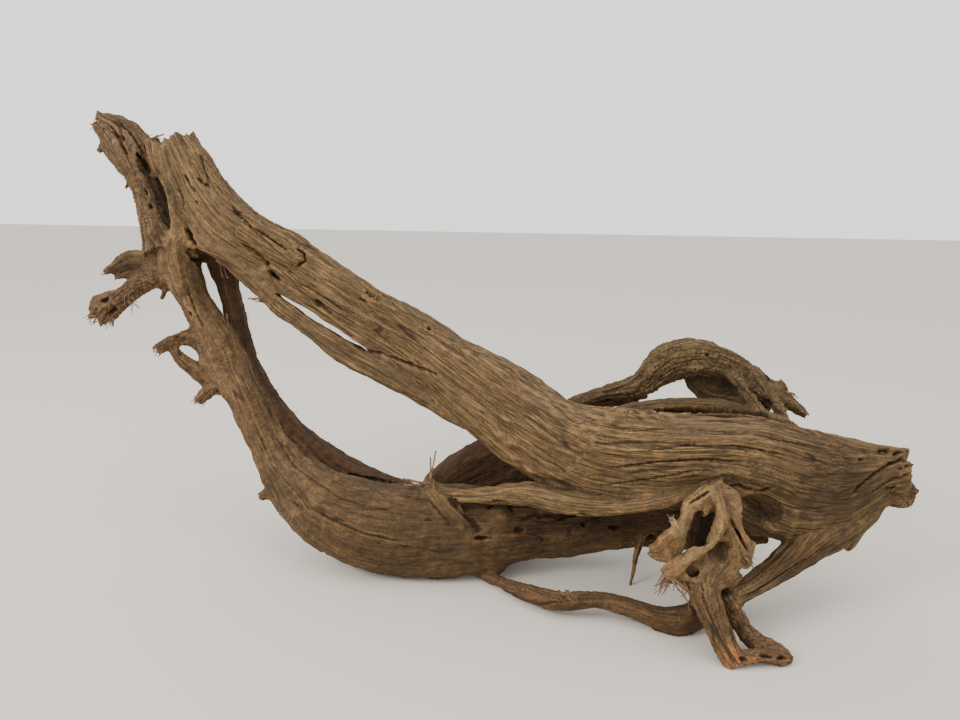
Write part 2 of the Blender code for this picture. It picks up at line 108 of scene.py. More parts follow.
# The relief. Layers of unevenness: (size and strength in metres, seed)
RELIEF = 1.35                          # how strongly all heights below are carved
LUMPS = ((0.05, 0.0013, 201), (0.022, 0.0009, 202), (0.010, 0.0004, 203))
WAVE_SCALE = np.array([20.0, 20.0, 7.0])         # bends of the grain, to a metre
LINE_WIDTH = 0.20
SPLIT_PATCH = np.array([0.03, 0.03, 0.12])       # where splits open
SPLIT_OPENS, SPLIT_WIDTH = 0.35, 0.075
ROUGH_LUMP = (0.011, 0.0009)           # size and height of lumps on broken wood
ROUGH_PIT = (0.006, 0.0011)            # size and depth of its pits
# Pits on broken wood are darkened inside: painted shade
ROUGH_PIT_WIDTH, ROUGH_PIT_DARK_WIDTH, ROUGH_PIT_DARK = 0.30, 0.22, 0.7
# How sunken each point is; the material paints shade in sunken points and a highlight on raised ones
SUNKEN_SIZES = ((3, 0.0005, 0.45), (14, 0.0020, 0.55))   # (rounds of smoothing, depth in metres, share)

# How the marks are carved. Edges are layers of unevenness, fades and ends are shares of a mark's size
PATH_STEP = 1.0                        # in pixels of the picture
MARK_STRIDE = 7                        # the grain's flow at a mark is read from every seventh point
OVAL_REACH, OVAL_DEPTH = 1.7, 2.5
# Pits and cracks are darkened inside as painted shade; the dark rings of knots are their grain
PIT_EDGE, PIT_FADE, PIT_DARK = ((0.0045, 0.40, 301), (0.010, 0.40, 303)), (0.45, 1.1), 1.2
KNOT_WIDTH, KNOT_CALM, KNOT_DARK = 0.75, 0.6, 0.5
KNOT_RINGS, KNOT_RIPPLE = 3.0, 0.0004
CRACK_EDGE, CRACK_FADE, CRACK_REACH = ((0.005, 0.5, 304),), (0.3, 1.2), 2.0
CRACK_ENDS = (-0.05, 0.15, 0.85, 1.05)
DARK_CRACK = 5                         # a crack as deep as this, in millimetres, is wholly dark inside, painted shade
CORD_WIDTH, CORD_REACH = 0.8, 2.2
CORD_ENDS = (-0.05, 0.12, 0.88, 1.05)
TINT_EDGE, TINT_FADE = ((0.012, 0.3, 302),), (0.3, 1.2)

# Loose fibres, in metres
FIBRE_SEED = 5
FIBRE_STEPS, FIBRE_SIDES = 7, 5
FIBRE_WAVES = 110.0                    # to a metre
FIBRE_SINK = 0.0012
FIBRE_TIP = 0.12                       # a fibre's thickness at its tip, as a share
TURNS = 90.0                           # fibres differ by a random number up to this
FRAY_SPREAD, FRAY_LIFT, FRAY_LENGTHS = 0.6, 0.25, (0.45, 1.25)
FRAY_LOOSENESS, SPLINTER_LOOSENESS = 0.35, 0.12
HAIR_INSET = 4.0                       # in pixels of the picture
HAIR_DRIFT, HAIR_LOOSENESS, HAIR_LIFT, HAIR_LENGTHS = 0.9, 0.35, 0.4, (0.4, 1.3)

# Floor and light: (name, place, target, size, power, colour)
FLOOR_HALF = 6.0
FLOOR_COLOUR = (0.60, 0.56, 0.49)
WORLD_COLOUR = (0.90, 0.90, 0.90)
WORLD_STRENGTH = 1.80
LIGHTS = (
    ("window", (-1.9, -1.1, 1.6), (0.0, 0.0, 0.2), 1.1, 52.0, (1.0, 0.97, 0.93)),
    ("ceiling", (0.4, -0.3, 2.4), (0.0, 0.0, 0.1), 1.6, 12.0, (0.97, 0.98, 1.0)),
)

# Colours of the wood
TAN = (0.235, 0.157, 0.080)
SPUR_BROWN = (0.175, 0.115, 0.062)
STRIP_BROWN = (0.190, 0.130, 0.067)
TRUNK_BROWN = (0.205, 0.137, 0.068)
LEG_BROWN = (0.182, 0.116, 0.058)
BELLY_BROWN = (0.130, 0.082, 0.039)
SHADED_BROWN = (0.095, 0.060, 0.029)
DARK_BROWN = (0.085, 0.045, 0.021)
OLIVE_BROWN = (0.165, 0.117, 0.059)
PALE_TAN = (0.275, 0.182, 0.090)
RED_BROWN = (0.172, 0.104, 0.058)
SILL_BROWN = (0.120, 0.082, 0.041)
BARK_BROWN = (0.150, 0.092, 0.048)
FOOT_ORANGE = (0.500, 0.235, 0.105)
WEB_ORANGE = (0.300, 0.165, 0.078)
FLOOR_ROOT_BROWN = (0.122, 0.073, 0.036)
PINK_TAN = (0.250, 0.150, 0.090)
CHIP_PALE = (0.430, 0.330, 0.190)
FRAY_PALE = (0.36, 0.215, 0.120)
# Near-black painted shade for the backs of hollows and openings and for deep recesses
PAINTED_SHADE_BROWN = (0.050, 0.028, 0.014)
# Dark of the grain lines, and painted shade in grooves, cracks, pits and hollows
DARK_LINES_AND_SHADE = (0.030, 0.017, 0.009)
WOOD_CAST = (0.545, 0.510, 0.440)      # darkens and warms all wood alike

# Kinds of loose fibre: (material, dark and pale colour, thickness, bend and droop in metres)
FIBRE_KINDS = {
    "frayed_ends": ("frayed_fibre", RED_BROWN, FRAY_PALE, 0.00045, 0.010, 0.0015),
    "splinters": ("splinter_wood", BARK_BROWN, FRAY_PALE, 0.0010, 0.004, 0.0),
    "edge_hairs": ("bark_hair", DARK_BROWN, LEG_BROWN, 0.00028, 0.006, 0.0008),
}

# Grain sizes (across, along), reliefs in millimetres, and shares: how dark the lines are, how rough
# and porous the wood is, and how far lines along the grain show in place of bark's mottle
GRAIN_SIZES = {"broad": (12, 200), "line": (5, 220), "fine": (2.6, 70), "split": (18, 200)}
RELIEFS = {"broad_height": 0.7, "line_depth": 0.9, "fine_height": 0.28, "split_depth": 1.4, "wave": 1.1}
SHARES = {"line_dark": 0.62, "rough": 0.0, "lined": 1.0}


def wood(colour, **own):
    """One kind of wood: its colour, and what differs in it from plain grained wood."""
    kind = {**RELIEFS, **SHARES, **GRAIN_SIZES, **own, "colour": np.array(colour)}
    for name in RELIEFS:
        kind[name] /= 1000
    for name in GRAIN_SIZES:
        across, along = kind[name]
        kind[name] = np.array([across, across, along]) / 1000
    return kind


WOODS = {
    "plank": wood(TAN, line=(4.2, 100), fine=(2.4, 30), fine_height=0.4),
    "spur": wood(SPUR_BROWN, line_depth=1.2, split_depth=2.2, rough=0.8, lined=0.6),
    "strip": wood(STRIP_BROWN, line_depth=0.6, split_depth=0.8),
    "trunk": wood(TRUNK_BROWN, broad_height=0.9, line=(5.6, 260), line_dark=0.52, wave=1.8),
    "leg": wood(LEG_BROWN, broad=(13, 60), broad_height=0.9, line=(4.6, 50), line_depth=0.4, line_dark=0.30,
                split_depth=0.8, wave=4, rough=0.5, lined=0.45),
    "belly": wood(BELLY_BROWN, broad=(20, 60), broad_height=1.8, line=(7, 60), line_depth=0.5, line_dark=0.35,
                  split=(30, 90), wave=12, rough=0.35, lined=0.55),
    # Limbs behind the outer ones are darker brown: painted shade
    "inner": wood(DARK_BROWN, line=(5.5, 80), line_depth=0.6, line_dark=0.5, rough=0.4, lined=0.6),
    "arch": wood(OLIVE_BROWN, line=(5.2, 90), line_depth=1, broad_height=1.3, wave=3, rough=1.0, lined=0.7),
    "sill": wood(SILL_BROWN, line_depth=0.8, broad_height=1.2, rough=0.5, lined=0.7),
    "lattice": wood(PALE_TAN, broad_height=0.4, line=(3.4, 30), line_depth=0.3, line_dark=0.15,
                    fine_height=0.2, split_depth=0.5, rough=0.5, lined=0.5),
    "chip": wood(CHIP_PALE, line_depth=0.3, line_dark=0.1),
    "leg_front": wood(LEG_BROWN, line=(4.5, 60), line_depth=0.8, line_dark=0.6, rough=0.5, lined=0.6),
    "bark": wood(BARK_BROWN, line=(4, 20), line_depth=0.8, wave=3, rough=1.0, lined=0.3),
    "stub": wood(RED_BROWN, line=(3.6, 30), line_depth=1, rough=1.0, lined=0.4),
    "floor": wood(FLOOR_ROOT_BROWN, line=(4, 60), line_depth=0.4, broad_height=0.5, rough=0.4, lined=0.5),
    # Near-black wood for the sheets at the backs of hollows and openings: painted shade
    "shade_cavity": wood(PAINTED_SHADE_BROWN, rough=0.6),
}

# What the wood's material draws: (what it is laid on, sizes in metres, detail, roughness)
PATTERNS = {
    "streak": ("grain", (0.0020, 0.0020, 0.050), 3.0, 0.60),
    "hair": ("grain", (0.0010, 0.0010, 0.016), 3.0, 0.65),
    "hairline": ("grain", (0.0034, 0.0034, 0.160), 1.0, 0.5),
    "band": ("grain", (0.009, 0.009, 0.160), 2.0, 0.5),
    "bark": ("place", (0.0110, 0.0110, 0.0080), 5.0, 0.62),
    "speck": ("place", (0.0014, 0.0014, 0.0014), 3.0, 0.65),
    "mottle": ("place", (0.012, 0.012, 0.012), 4.0, 0.65),
    "patch": ("place", (0.060, 0.060, 0.060), 3.0, 0.6),
}
# How a pattern lightens and darkens the wood: (from, to, factor at from, factor at to)
TONES = {
    "streak": (0.40, 0.60, 0.66, 1.24), "hair": (0.40, 0.60, 0.76, 1.20), "bark": (0.40, 0.60, 0.70, 1.26),
    "band": (0.32, 0.68, 0.88, 1.12), "speck": (0.32, 0.68, 0.78, 1.22), "mottle": (0.32, 0.68, 0.84, 1.16),
    "patch": (0.32, 0.68, 0.86, 1.14),
}
# How shares follow from what they are read from, in the same form
WARM_SHARE, WARM_CAST = (0.45, 0.70, 0.0, 0.45), (1.12, 0.90, 0.76)
OPEN_LINE_SHARE = (0.0, 0.022, 0.60, 0.0)
# Grooves are darkened by the grain lines' own dark and, in cracks, splits and pits, by painted shade
GROOVE_DARK_AND_SHADE = (0.10, 0.95, 0.0, 0.88)
# Sunken points are darkened: painted shade in hollows
HOLLOW_PAINTED_SHADE = (0.08, 0.80, 0.0, 0.92)
# Raised points are made paler: painted highlight
RAISED_HIGHLIGHT_SHARE, RAISED_HIGHLIGHT_CAST = (-0.12, -0.75, 0.0, 0.55), (1.75, 1.68, 1.55)
WOOD_ROUGHNESS, WOOD_GLOSS = (0.3, 0.7, 0.92, 0.76), 0.25
BUMP_DEPTH = 0.0015
BUMP_SHARES = {"streak": 0.50, "hair": 0.35, "bark": 0.5, "speck": 0.22, "open line": 0.5}
FIBRE_TONE, FIBRE_MOTTLE, FIBRE_ROUGHNESS = (0.35, 0.65, 0.0, 1.0), (0.004, 0.004, 0.004), 0.85
FLOOR_ROUGHNESS = 0.9


# The camera's own axes, for placing things by a point of the picture


def camera_axes():
    """The picture's right and up and the way the camera looks."""
    pitch, roll = math.radians(CAMERA_PITCH), math.radians(CAMERA_ROLL)
    forward = np.array([0.0, math.cos(pitch), -math.sin(pitch)])
    level_up = np.array([0.0, math.sin(pitch), math.cos(pitch)])
    level_right = np.array([1.0, 0.0, 0.0])
    right = math.cos(roll) * level_right + math.sin(roll) * level_up
    up = math.cos(roll) * level_up - math.sin(roll) * level_right
    return right, up, forward


RIGHT, UP, FORWARD = camera_axes()
EYE = CAMERA_PLACE + FRAME_SHIFT


def sight(u, v):
    """The direction from the camera through a point of the picture."""
    across = (u - PICTURE_SIZE[0] / 2) / PICTURE_FOCAL
    high = (PICTURE_SIZE[1] / 2 - v) / PICTURE_FOCAL
    return FORWARD + across * RIGHT + high * UP


def in_metres(*millimetres):
    return tuple(value / 1000 for value in millimetres)


def at(u, v, depth):
    """The place behind a point of the picture at this y in millimetres, before the frame's shift."""
    way = sight(u, v)
    return tuple(CAMERA_PLACE + way * ((depth / 1000 - CAMERA_PLACE[1]) / way[1]))


# A limb is a row of stations in millimetres, each with its half width across the broad face and its half
# depth. Those measured along the limb start with x, y and z, and those drawn over the picture with a
# point of the picture and y.


def measured(*stations):
    return [in_metres(*station) for station in stations]


def drawn(*stations):
    return [at(u, v, depth) + in_metres(*half_sizes) for u, v, depth, *half_sizes in stations]


def limb(wood_name, seed, stations, squareness=2.0, turn=0.0, ridges=0, ridge_depth=0.0, ragged=0.0, seam=0):
    """A limb's wood and shape. Depths are in millimetres, and seam says which side of it its grain holds."""
    return {"wood": wood_name, "seed": seed, "stations": stations, "squareness": squareness,
            "turn": math.radians(turn), "ridges": ridges, "ridge_depth": ridge_depth / 1000,
            "ragged": ragged / 1000, "seam": seam}


LIMBS = {
    "plank": limb("plank", seed=1, squareness=3.2, turn=14, ridges=13, ridge_depth=1.4, ragged=8, seam=-1,
                  stations=measured(
        (150, -18, 163, 52, 40), (96, 0, 173, 53, 37), (43, 25, 197, 50, 33), (-12, 45, 228, 46, 28),
        (-73, 65, 269, 38, 23), (-143, 80, 306, 38, 20), (-213, 95, 345.5, 38, 18),
        (-273, 105, 381, 38, 19), (-316, 115, 409, 38, 21), (-346, 125, 440, 37, 20),
        (-369, 130, 479, 34, 17), (-382, 135, 510, 24, 14))),
    "plank_corner": limb("plank", seed=33, squareness=2.6, ragged=4, stations=drawn(
        (178, 176, 134, 20, 11), (172, 158, 137, 20, 10), (167, 141, 140, 18, 8))),
    "plank_edge": limb("plank", seed=57, ragged=5, stations=drawn(
        (151, 139, 150, 9, 6), (155, 152, 148, 10, 7), (158, 167, 146, 9, 7), (160, 178, 144, 5, 5))),
    "spur": limb("spur", seed=2, squareness=2.4, ridges=7, ridge_depth=1.6, ragged=12, stations=measured(
        (-402, 125, 375, 27, 26), (-412, 132, 404, 19, 22), (-424, 140, 432, 15, 18),
        (-435, 145, 460, 15, 17), (-450, 155, 488, 23, 16), (-467, 165, 515, 26, 13),
        (-493, 175, 536, 12, 9))),
    "spur_flake_low": limb("spur", seed=34, squareness=2.6, ragged=5, stations=drawn(
        (133, 176, 150, 10, 7), (118, 161, 158, 10, 5), (102, 144, 166, 4, 3))),
    "spur_tooth": limb("spur", seed=60, squareness=2.6, ragged=4, stations=drawn(
        (120, 141, 164, 10, 6), (106, 145, 167, 7, 4), (99, 151, 168, 2.5, 2.5))),
    "spur_hook": limb("spur", seed=61, squareness=2.6, ragged=4, stations=drawn(
        (142, 172, 150, 9, 7), (132, 179, 150, 6, 5), (126, 188, 150, 2.5, 2.5))),
    "spur_flake_top": limb("spur", seed=35, squareness=2.6, ragged=5, stations=drawn(
        (146, 146, 156, 12, 6), (128, 126, 168, 10, 5), (98, 117, 178, 5, 4))),
    # A sheet at the back of the top hollow, in painted shade
    "hollow_back": limb("shade_cavity", seed=27, stations=drawn(
        (150, 160, 166, 12, 6), (160, 196, 160, 14, 6), (168, 236, 152, 14, 8))),
    "hollow_rim": limb("plank", seed=28, stations=drawn(
        (158, 173, 124, 3, 4), (169, 197, 118, 4, 6), (175, 218, 114, 4, 7), (174, 236, 112, 5, 8))),
    "shoulder": limb("plank", seed=32, stations=drawn(
        (176, 240, 130, 20, 16), (198, 243, 118, 18, 16), (222, 254, 108, 9, 12), (246, 268, 101, 8, 10),
        (270, 287, 96, 7, 9))),
    "outer_leg": limb("leg", seed=3, squareness=2.2, ridges=9, ridge_depth=1.6, stations=drawn(
        (168, 190, 122, 5, 6), (174, 212, 119, 11, 11)) + measured(
        (-372, 125, 400, 24, 22), (-385, 124, 374, 28, 26), (-380, 120, 342, 22, 22),
        (-367, 120, 306, 19, 19), (-349, 115, 269, 26, 22), (-332, 110, 230, 28, 25),
        (-305, 100, 193, 20, 26), (-285, 90, 156, 22, 28), (-261, 75, 120, 27, 32),
        (-229, 55, 86, 37, 37), (-180, 28, 63, 47, 43))),
    "belly": limb("belly", seed=37, squareness=2.2, ridges=7, ridge_depth=1.4, stations=measured(
        (-261, 75, 120, 27, 32), (-229, 55, 86, 37, 37), (-180, 28, 63, 47, 43), (-113, 14, 52, 55, 50),
        (-45, 12, 51, 54, 52), (22, 16, 52, 49, 48), (85, 26, 51, 39, 40), (154, 30, 54, 32, 34),
        (216, 24, 57, 28, 28), (258, 0, 67, 27, 24), (295, -16, 78, 30, 22), (337, -25, 88, 29, 20))),
    "inner_leg": limb("inner", seed=4, ridges=6, ridge_depth=1.2, stations=measured(
        (-345, 140, 385, 24, 16), (-339, 146, 364, 22, 16), (-336, 150, 330, 16, 14),
        (-328, 145, 294, 15, 14), (-321, 140, 257, 16, 15), (-311, 130, 222, 17, 17),
        (-287, 120, 183, 19, 18), (-253, 110, 145, 19, 19), (-206, 95, 112, 18, 18),
        (-152, 80, 93, 14, 17), (-102, 62, 84, 11, 14), (-60, 45, 74, 8, 10), (-30, 35, 64, 5, 6))),
    "split_strip": limb("strip", seed=5, squareness=2.6, ridges=5, ridge_depth=1, stations=measured(
        (-339, 115, 379, 12, 11), (-311, 110, 364, 12, 11), (-283, 100, 345, 13, 11),
        (-256, 95, 321, 15, 11), (-224, 90, 298, 16, 11), (-193, 85, 277, 17, 12),
        (-160, 80, 258, 17, 13), (-112, 70, 235, 18, 15), (-61, 60, 208, 16, 18), (-10, 45, 187, 18, 20))),
    "trunk": limb("trunk", seed=6, squareness=2.9, turn=-6, ridges=15, ridge_depth=1.8, ragged=10, seam=1,
                  stations=measured(
        (60, 10, 180, 42, 30), (100, -4, 170, 50, 36), (145, -22, 164, 53, 41), (200, -34, 168, 50, 42),
        (248, -40, 173, 47, 42), (299, -45, 163, 56, 40), (350, -50, 144, 64, 36),
        (394, -50, 142, 57, 31), (427, -50, 153, 40, 26), (450, -50, 161, 29, 21), (472, -50, 162, 26, 16))),
    "strut": limb("trunk", seed=7, squareness=2.3, ridges=6, ridge_depth=1.8, stations=drawn(
        (894, 470, -50, 18, 13), (876, 484, -51, 22, 16), (862, 498, -52, 25, 19)) + measured(
        (425, -50, 122, 26, 20), (405, -55, 106, 26, 21), (378, -65, 89, 21, 20), (346, -82, 71, 15, 17),
        (309, -102, 58, 12, 14), (268, -130, 52, 10, 10))),
    "rear_foot": limb("inner", seed=38, squareness=2.2, ridges=5, ridge_depth=1.6, stations=measured(
        (-52, 152, -4, 24, 20), (-52, 143, 25, 26, 21), (-45, 127, 50, 34, 22), (-14, 110, 76, 40, 23),
        (40, 104, 106, 46, 22), (91, 95, 142, 43, 17), (127, 85, 193, 10, 10), (154, 85, 207, 8, 10))),
    "rear_limb": limb("arch", seed=8, squareness=2.2, ridges=7, ridge_depth=2.4, ragged=12,
                  stations=measured(
        (91, 95, 142, 43, 17), (127, 85, 193, 10, 10), (154, 85, 207, 8, 10), (187, 90, 212, 13, 12),
        (209, 90, 222, 17, 14), (225, 90, 238, 22, 16), (244, 90, 250, 24, 18), (274, 86, 257, 22, 19),
        (304, 81, 252, 21, 18), (333, 74, 238, 18, 16), (360, 66, 223, 15, 13), (384, 60, 209, 10, 9),
        (404, 55, 195, 5, 5))),
    "arch_sill": limb("sill", seed=9, stations=measured(
        (130, 36, 184, 10, 16), (154, 46, 190, 10, 16), (197, 52, 195, 13, 20), (247, 54, 198, 15, 22),
        (288, 46, 200, 16, 24), (322, 34, 196, 15, 22), (354, 5, 193, 13, 18), (372, -15, 180, 12, 16))),
    "arch_pillar": limb("arch", seed=10, ridges=3, ridge_depth=1.2, stations=drawn(
        (732, 372, 66, 10, 10), (742, 386, 55, 8, 9), (752, 399, 40, 7, 8), (762, 412, 20, 7, 8),
        (776, 422, 0, 7, 9))),
    "arch_knob": limb("arch", seed=36, ragged=5, stations=drawn(
        (752, 378, 62, 12, 10), (766, 394, 50, 10, 10), (778, 408, 34, 7, 8), (785, 419, 22, 4, 5))),
    "arch_back": limb("sill", seed=11, stations=drawn(
        (687, 370, 100, 8, 9), (698, 382, 101, 14, 10), (712, 389, 99, 19, 11), (730, 391, 92, 21, 11),
        (750, 398, 76, 18, 10), (770, 408, 55, 10, 8))),
    "arch_back_left": limb("arch", seed=28, stations=measured(
        (135, 92, 192, 6, 6), (165, 98, 194, 8, 7), (192, 100, 198, 8, 7), (217, 96, 205, 6, 6))),
    "arch_fringe": limb("arch", seed=48, ragged=4, stations=drawn(
        (776, 382, 62, 9, 6), (785, 390, 58, 6, 5), (790, 398, 56, 2.5, 2.5))),
    "arch_splinter": limb("arch", seed=49, ragged=3, stations=drawn(
        (768, 396, 54, 7, 6), (788, 402, 50, 5, 4), (804, 413, 48, 2.5, 2.5))),
    "lip": limb("trunk", seed=29, stations=measured(
        (-60, -4, 112, 7, 9), (-27, -12, 108, 8, 10), (14, -17, 111, 9, 13), (60, -30, 119, 14, 18),
        (104, -50, 119, 12, 18), (158, -62, 122, 9, 13), (209, -72, 137, 8, 12), (251, -76, 158, 7, 10))),
    "front_lobe": limb("lattice", seed=12, squareness=2.6, stations=drawn(
        (722, 484, -86, 7, 7), (712, 496, -96, 14, 7), (701, 504, -102, 14, 7), (690, 509, -105, 11, 7),
        (685, 516, -105, 6, 5))),
    "front_arm": limb("lattice", seed=13, squareness=3.4, ragged=5, stations=drawn(
        (689, 512, -104, 5, 6), (684, 524, -107, 7, 6), (676, 537, -110, 12, 6),
        (666, 548, -112, 16.5, 6), (656, 551, -111, 11, 5), (649, 550, -110, 5.5, 4))),
    "front_arm_foot": limb("lattice", seed=50, ragged=3, stations=drawn(
        (668, 546, -112, 9, 7), (671, 558, -117, 6, 6), (672, 567, -122, 3.5, 4))),
    "front_ridge": limb("lattice", seed=14, ragged=3, stations=drawn(
        (721, 478, -82, 3.5, 4), (718, 492, -100, 4, 6), (721, 508, -112, 4.5, 7), (721, 524, -120, 5, 8),
        (714, 538, -126, 4.2, 8), (702, 547, -130, 4.2, 8), (689, 557, -133, 5.5, 8),
        (676, 567, -135, 8, 9), (665, 576, -136, 8.5, 9))),
    "front_sheet": limb("lattice", seed=59, squareness=2.6, stations=drawn(
        (722, 492, -96, 6, 5), (725, 508, -104, 10, 6), (726, 524, -110, 14, 7), (726, 538, -111, 18, 7),
        (724, 552, -112, 20, 8))),
    "front_knob": limb("leg_front", seed=58, ridges=4, ridge_depth=1.2, ragged=4, stations=drawn(
        (664, 577, -134, 7.5, 8), (678, 576, -134, 10, 9), (694, 577, -131, 12.5, 11),
        (712, 578, -126, 12.5, 12), (728, 577, -121, 9.5, 10), (739, 572, -118, 6.5, 7))),
    "front_cup": limb("lattice", seed=15, squareness=2.4, stations=drawn(
        (722, 552, -112, 21, 9), (719, 561, -118, 24, 11), (712, 570, -123, 25, 12),
        (704, 581, -126, 18, 14), (704, 592, -130, 16, 13))),
    "front_flap": limb("lattice", seed=51, squareness=2.5, ragged=6, stations=drawn(
        (727, 508, -108, 6, 6), (733, 524, -113, 10, 7), (739, 540, -116, 12, 8), (743, 554, -117, 11, 8),
        (745, 565, -116, 6, 6))),
    "front_strand": limb("lattice", seed=52, ragged=4, stations=drawn(
        (724, 488, -90, 5, 5), (733, 494, -99, 5, 5), (737, 506, -104, 4.5, 4.5), (738, 517, -108, 5, 5),
        (744, 528, -112, 6, 5), (751, 540, -114, 6, 5), (751, 552, -114, 4, 4))),
    "front_chip": limb("chip", seed=53, squareness=3, ragged=3, stations=drawn(
        (677, 531, -112, 3.2, 3), (674, 524, -114, 3.6, 2.2), (671, 518, -114, 2.4, 1.8))),
    # A sheet behind the front openings, in painted shade
    "front_back_web": limb("shade_cavity", seed=54, stations=drawn(
        (712, 500, -86, 12, 6), (704, 522, -84, 16, 7), (700, 542, -86, 14, 7), (704, 560, -96, 14, 8))),
    "front_leg": limb("leg_front", seed=16, ridges=5, ridge_depth=1.4, stations=drawn(
        (708, 560, -118, 14, 10), (705, 577, -126, 15.5, 13)) + measured(
        (234, -140, 67, 17, 14), (242, -150, 46, 14, 13), (251, -161, 24, 13, 12),
        (259, -168, 10, 13, 11), (264, -171, 1, 12, 11))),
    "toe": limb("bark", seed=17, ragged=2, stations=measured(
        (262, -170, 8, 9, 9), (284, -167, 11, 7, 9), (304, -165, 8, 8, 9), (322, -162, 6, 7, 7))),
    "back_strut": limb("bark", seed=18, stations=drawn(
        (725, 596, -130, 9, 8), (735, 614, -137, 9, 8), (744, 630, -144, 10, 8),
        (757, 642, -151, 10.5, 8), (772, 650, -157, 9.5, 7), (788, 656, -160, 7, 6))),
    "floor_root": limb("floor", seed=19, ridges=4, ridge_depth=0.8, stations=measured(
        (-12, 5, 8, 6, 8), (5, -12, 7, 6, 7), (28, -35, 9, 8, 8), (62, -65, 13, 10, 9),
        (93, -88, 18, 10, 9), (137, -92, 23, 10, 9), (169, -100, 19, 11, 10), (196, -110, 14, 13, 12),
        (223, -114, 14, 16, 13), (246, -104, 21, 14, 12), (258, -98, 38, 10, 10), (258, -115, 54, 9, 9))),
    "stub_horn": limb("leg", seed=20, squareness=2.4, ragged=4, stations=drawn(
        (180, 262, 125, 26, 18), (152, 261, 124, 17, 13), (134, 259, 122, 12, 8), (118, 266, 118, 8, 6),
        (104, 272, 114, 5, 4))),
    "stub_shell": limb("bark", seed=30, stations=drawn(
        (176, 276, 124, 22, 12), (152, 274, 122, 19, 8), (137, 277, 120, 15.5, 6),
        (124, 279, 118, 9.5, 4), (114, 279, 116, 5, 3))),
    "stub_ball": limb("stub", seed=21, ridges=7, ridge_depth=1.6, ragged=9, stations=drawn(
        (172, 272, 120, 16, 14), (154, 278, 115, 14, 13), (136, 287, 110, 12, 12),
        (120, 298, 105, 15, 15), (106, 308, 101, 17, 15), (98, 318, 99, 10, 9))),
    "stub_bark": limb("stub", seed=31, ragged=5, stations=measured(
        (-245, 58, 80, 12, 12), (-267, 54, 76, 9, 9), (-278, 50, 73, 6, 6))),
    "stub_middle": limb("stub", seed=22, ridges=4, ridge_depth=1.2, ragged=6, stations=measured(
        (-350, 112, 260, 22, 19), (-373, 106, 267, 14, 12), (-395, 100, 264, 9, 9), (-412, 95, 252, 8, 8))),
    "stub_middle_stay": limb("leg", seed=23, stations=measured(
        (-398, 100, 261, 7, 7), (-383, 100, 238, 8, 8), (-356, 105, 214, 13, 12), (-335, 108, 200, 13, 13))),
    "stub_small": limb("stub", seed=24, ridges=4, ridge_depth=1, ragged=6, stations=measured(
        (-325, 102, 208, 14, 13), (-345, 95, 203, 9, 9), (-355, 90, 195, 9, 9), (-361, 86, 187, 7, 7))),
    "crossing_root": limb("belly", seed=25, squareness=2.3, ridges=3, ridge_depth=1.4, stations=drawn(
        (424, 480, 1, 9.5, 8), (434, 494, -9, 12, 9), (445, 507, -18, 11, 9), (457, 518, -24, 13, 10),
        (467, 533, -26, 10, 10), (479, 545, -24, 13, 11), (488, 556, -17, 16, 12), (500, 566, -6, 16, 12))),
    "hanging_tip": limb("leg", seed=26, stations=drawn(
        (646, 527, 6, 6, 6), (640, 543, -4, 5, 5), (635, 559, -13, 3.6, 3.6), (632, 575, -19, 2.7, 2.7),
        (629, 589, -23, 1.8, 1.8))),
    "end_nub": limb("stub", seed=41, squareness=2.6, ridges=4, ridge_depth=1.4, ragged=2, stations=drawn(
        (872, 486, -50, 14, 12), (892, 492, -54, 15.5, 12), (907, 495, -55, 15, 10),
        (914, 496, -55, 11, 7))),
    "end_sliver": limb("trunk", seed=42, squareness=3, ragged=3, stations=drawn(
        (808, 438, -40, 10, 12), (833, 445, -50, 12, 12), (858, 452, -57, 12, 9), (882, 455, -60, 11, 7),
        (903, 456, -60, 9, 6))),
    "end_tongue": limb("trunk", seed=43, squareness=3, ragged=3, stations=drawn(
        (855, 471, -62, 11, 7), (888, 469, -64, 10, 7), (908, 468, -62, 8, 6))),
    "trunk_spike": limb("trunk", seed=44, stations=drawn(
        (868, 510, -54, 15, 11), (856, 528, -56, 11, 9), (849, 541, -57, 7.5, 7),
        (846, 549, -57, 3.5, 3.5))),
    "strip_spike": limb("strip", seed=45, stations=drawn(
        (296, 309, 96, 7, 6), (276, 303, 96, 5, 4), (253, 301, 96, 1.8, 1.8))),
    "strip_flake": limb("strip", seed=46, ragged=3, stations=drawn(
        (262, 268, 90, 6, 4), (276, 283, 88, 7, 4), (291, 300, 87, 3, 3))),
    "plank_slab": limb("plank", seed=55, squareness=3, ragged=6, stations=drawn(
        (240, 224, 82, 14, 5), (270, 244, 79, 15, 6), (298, 263, 78, 10, 5))),
    "leg_spike": limb("stub", seed=47, stations=drawn(
        (170, 281, 118, 10, 8), (165, 290, 114, 5, 5), (161, 299, 111, 1.8, 1.8))),
    "eye_pad": limb("trunk", seed=56, stations=drawn(
        (750, 531, -56, 6, 8), (768, 528, -61, 8.5, 10), (789, 526, -61, 5, 8))),
}

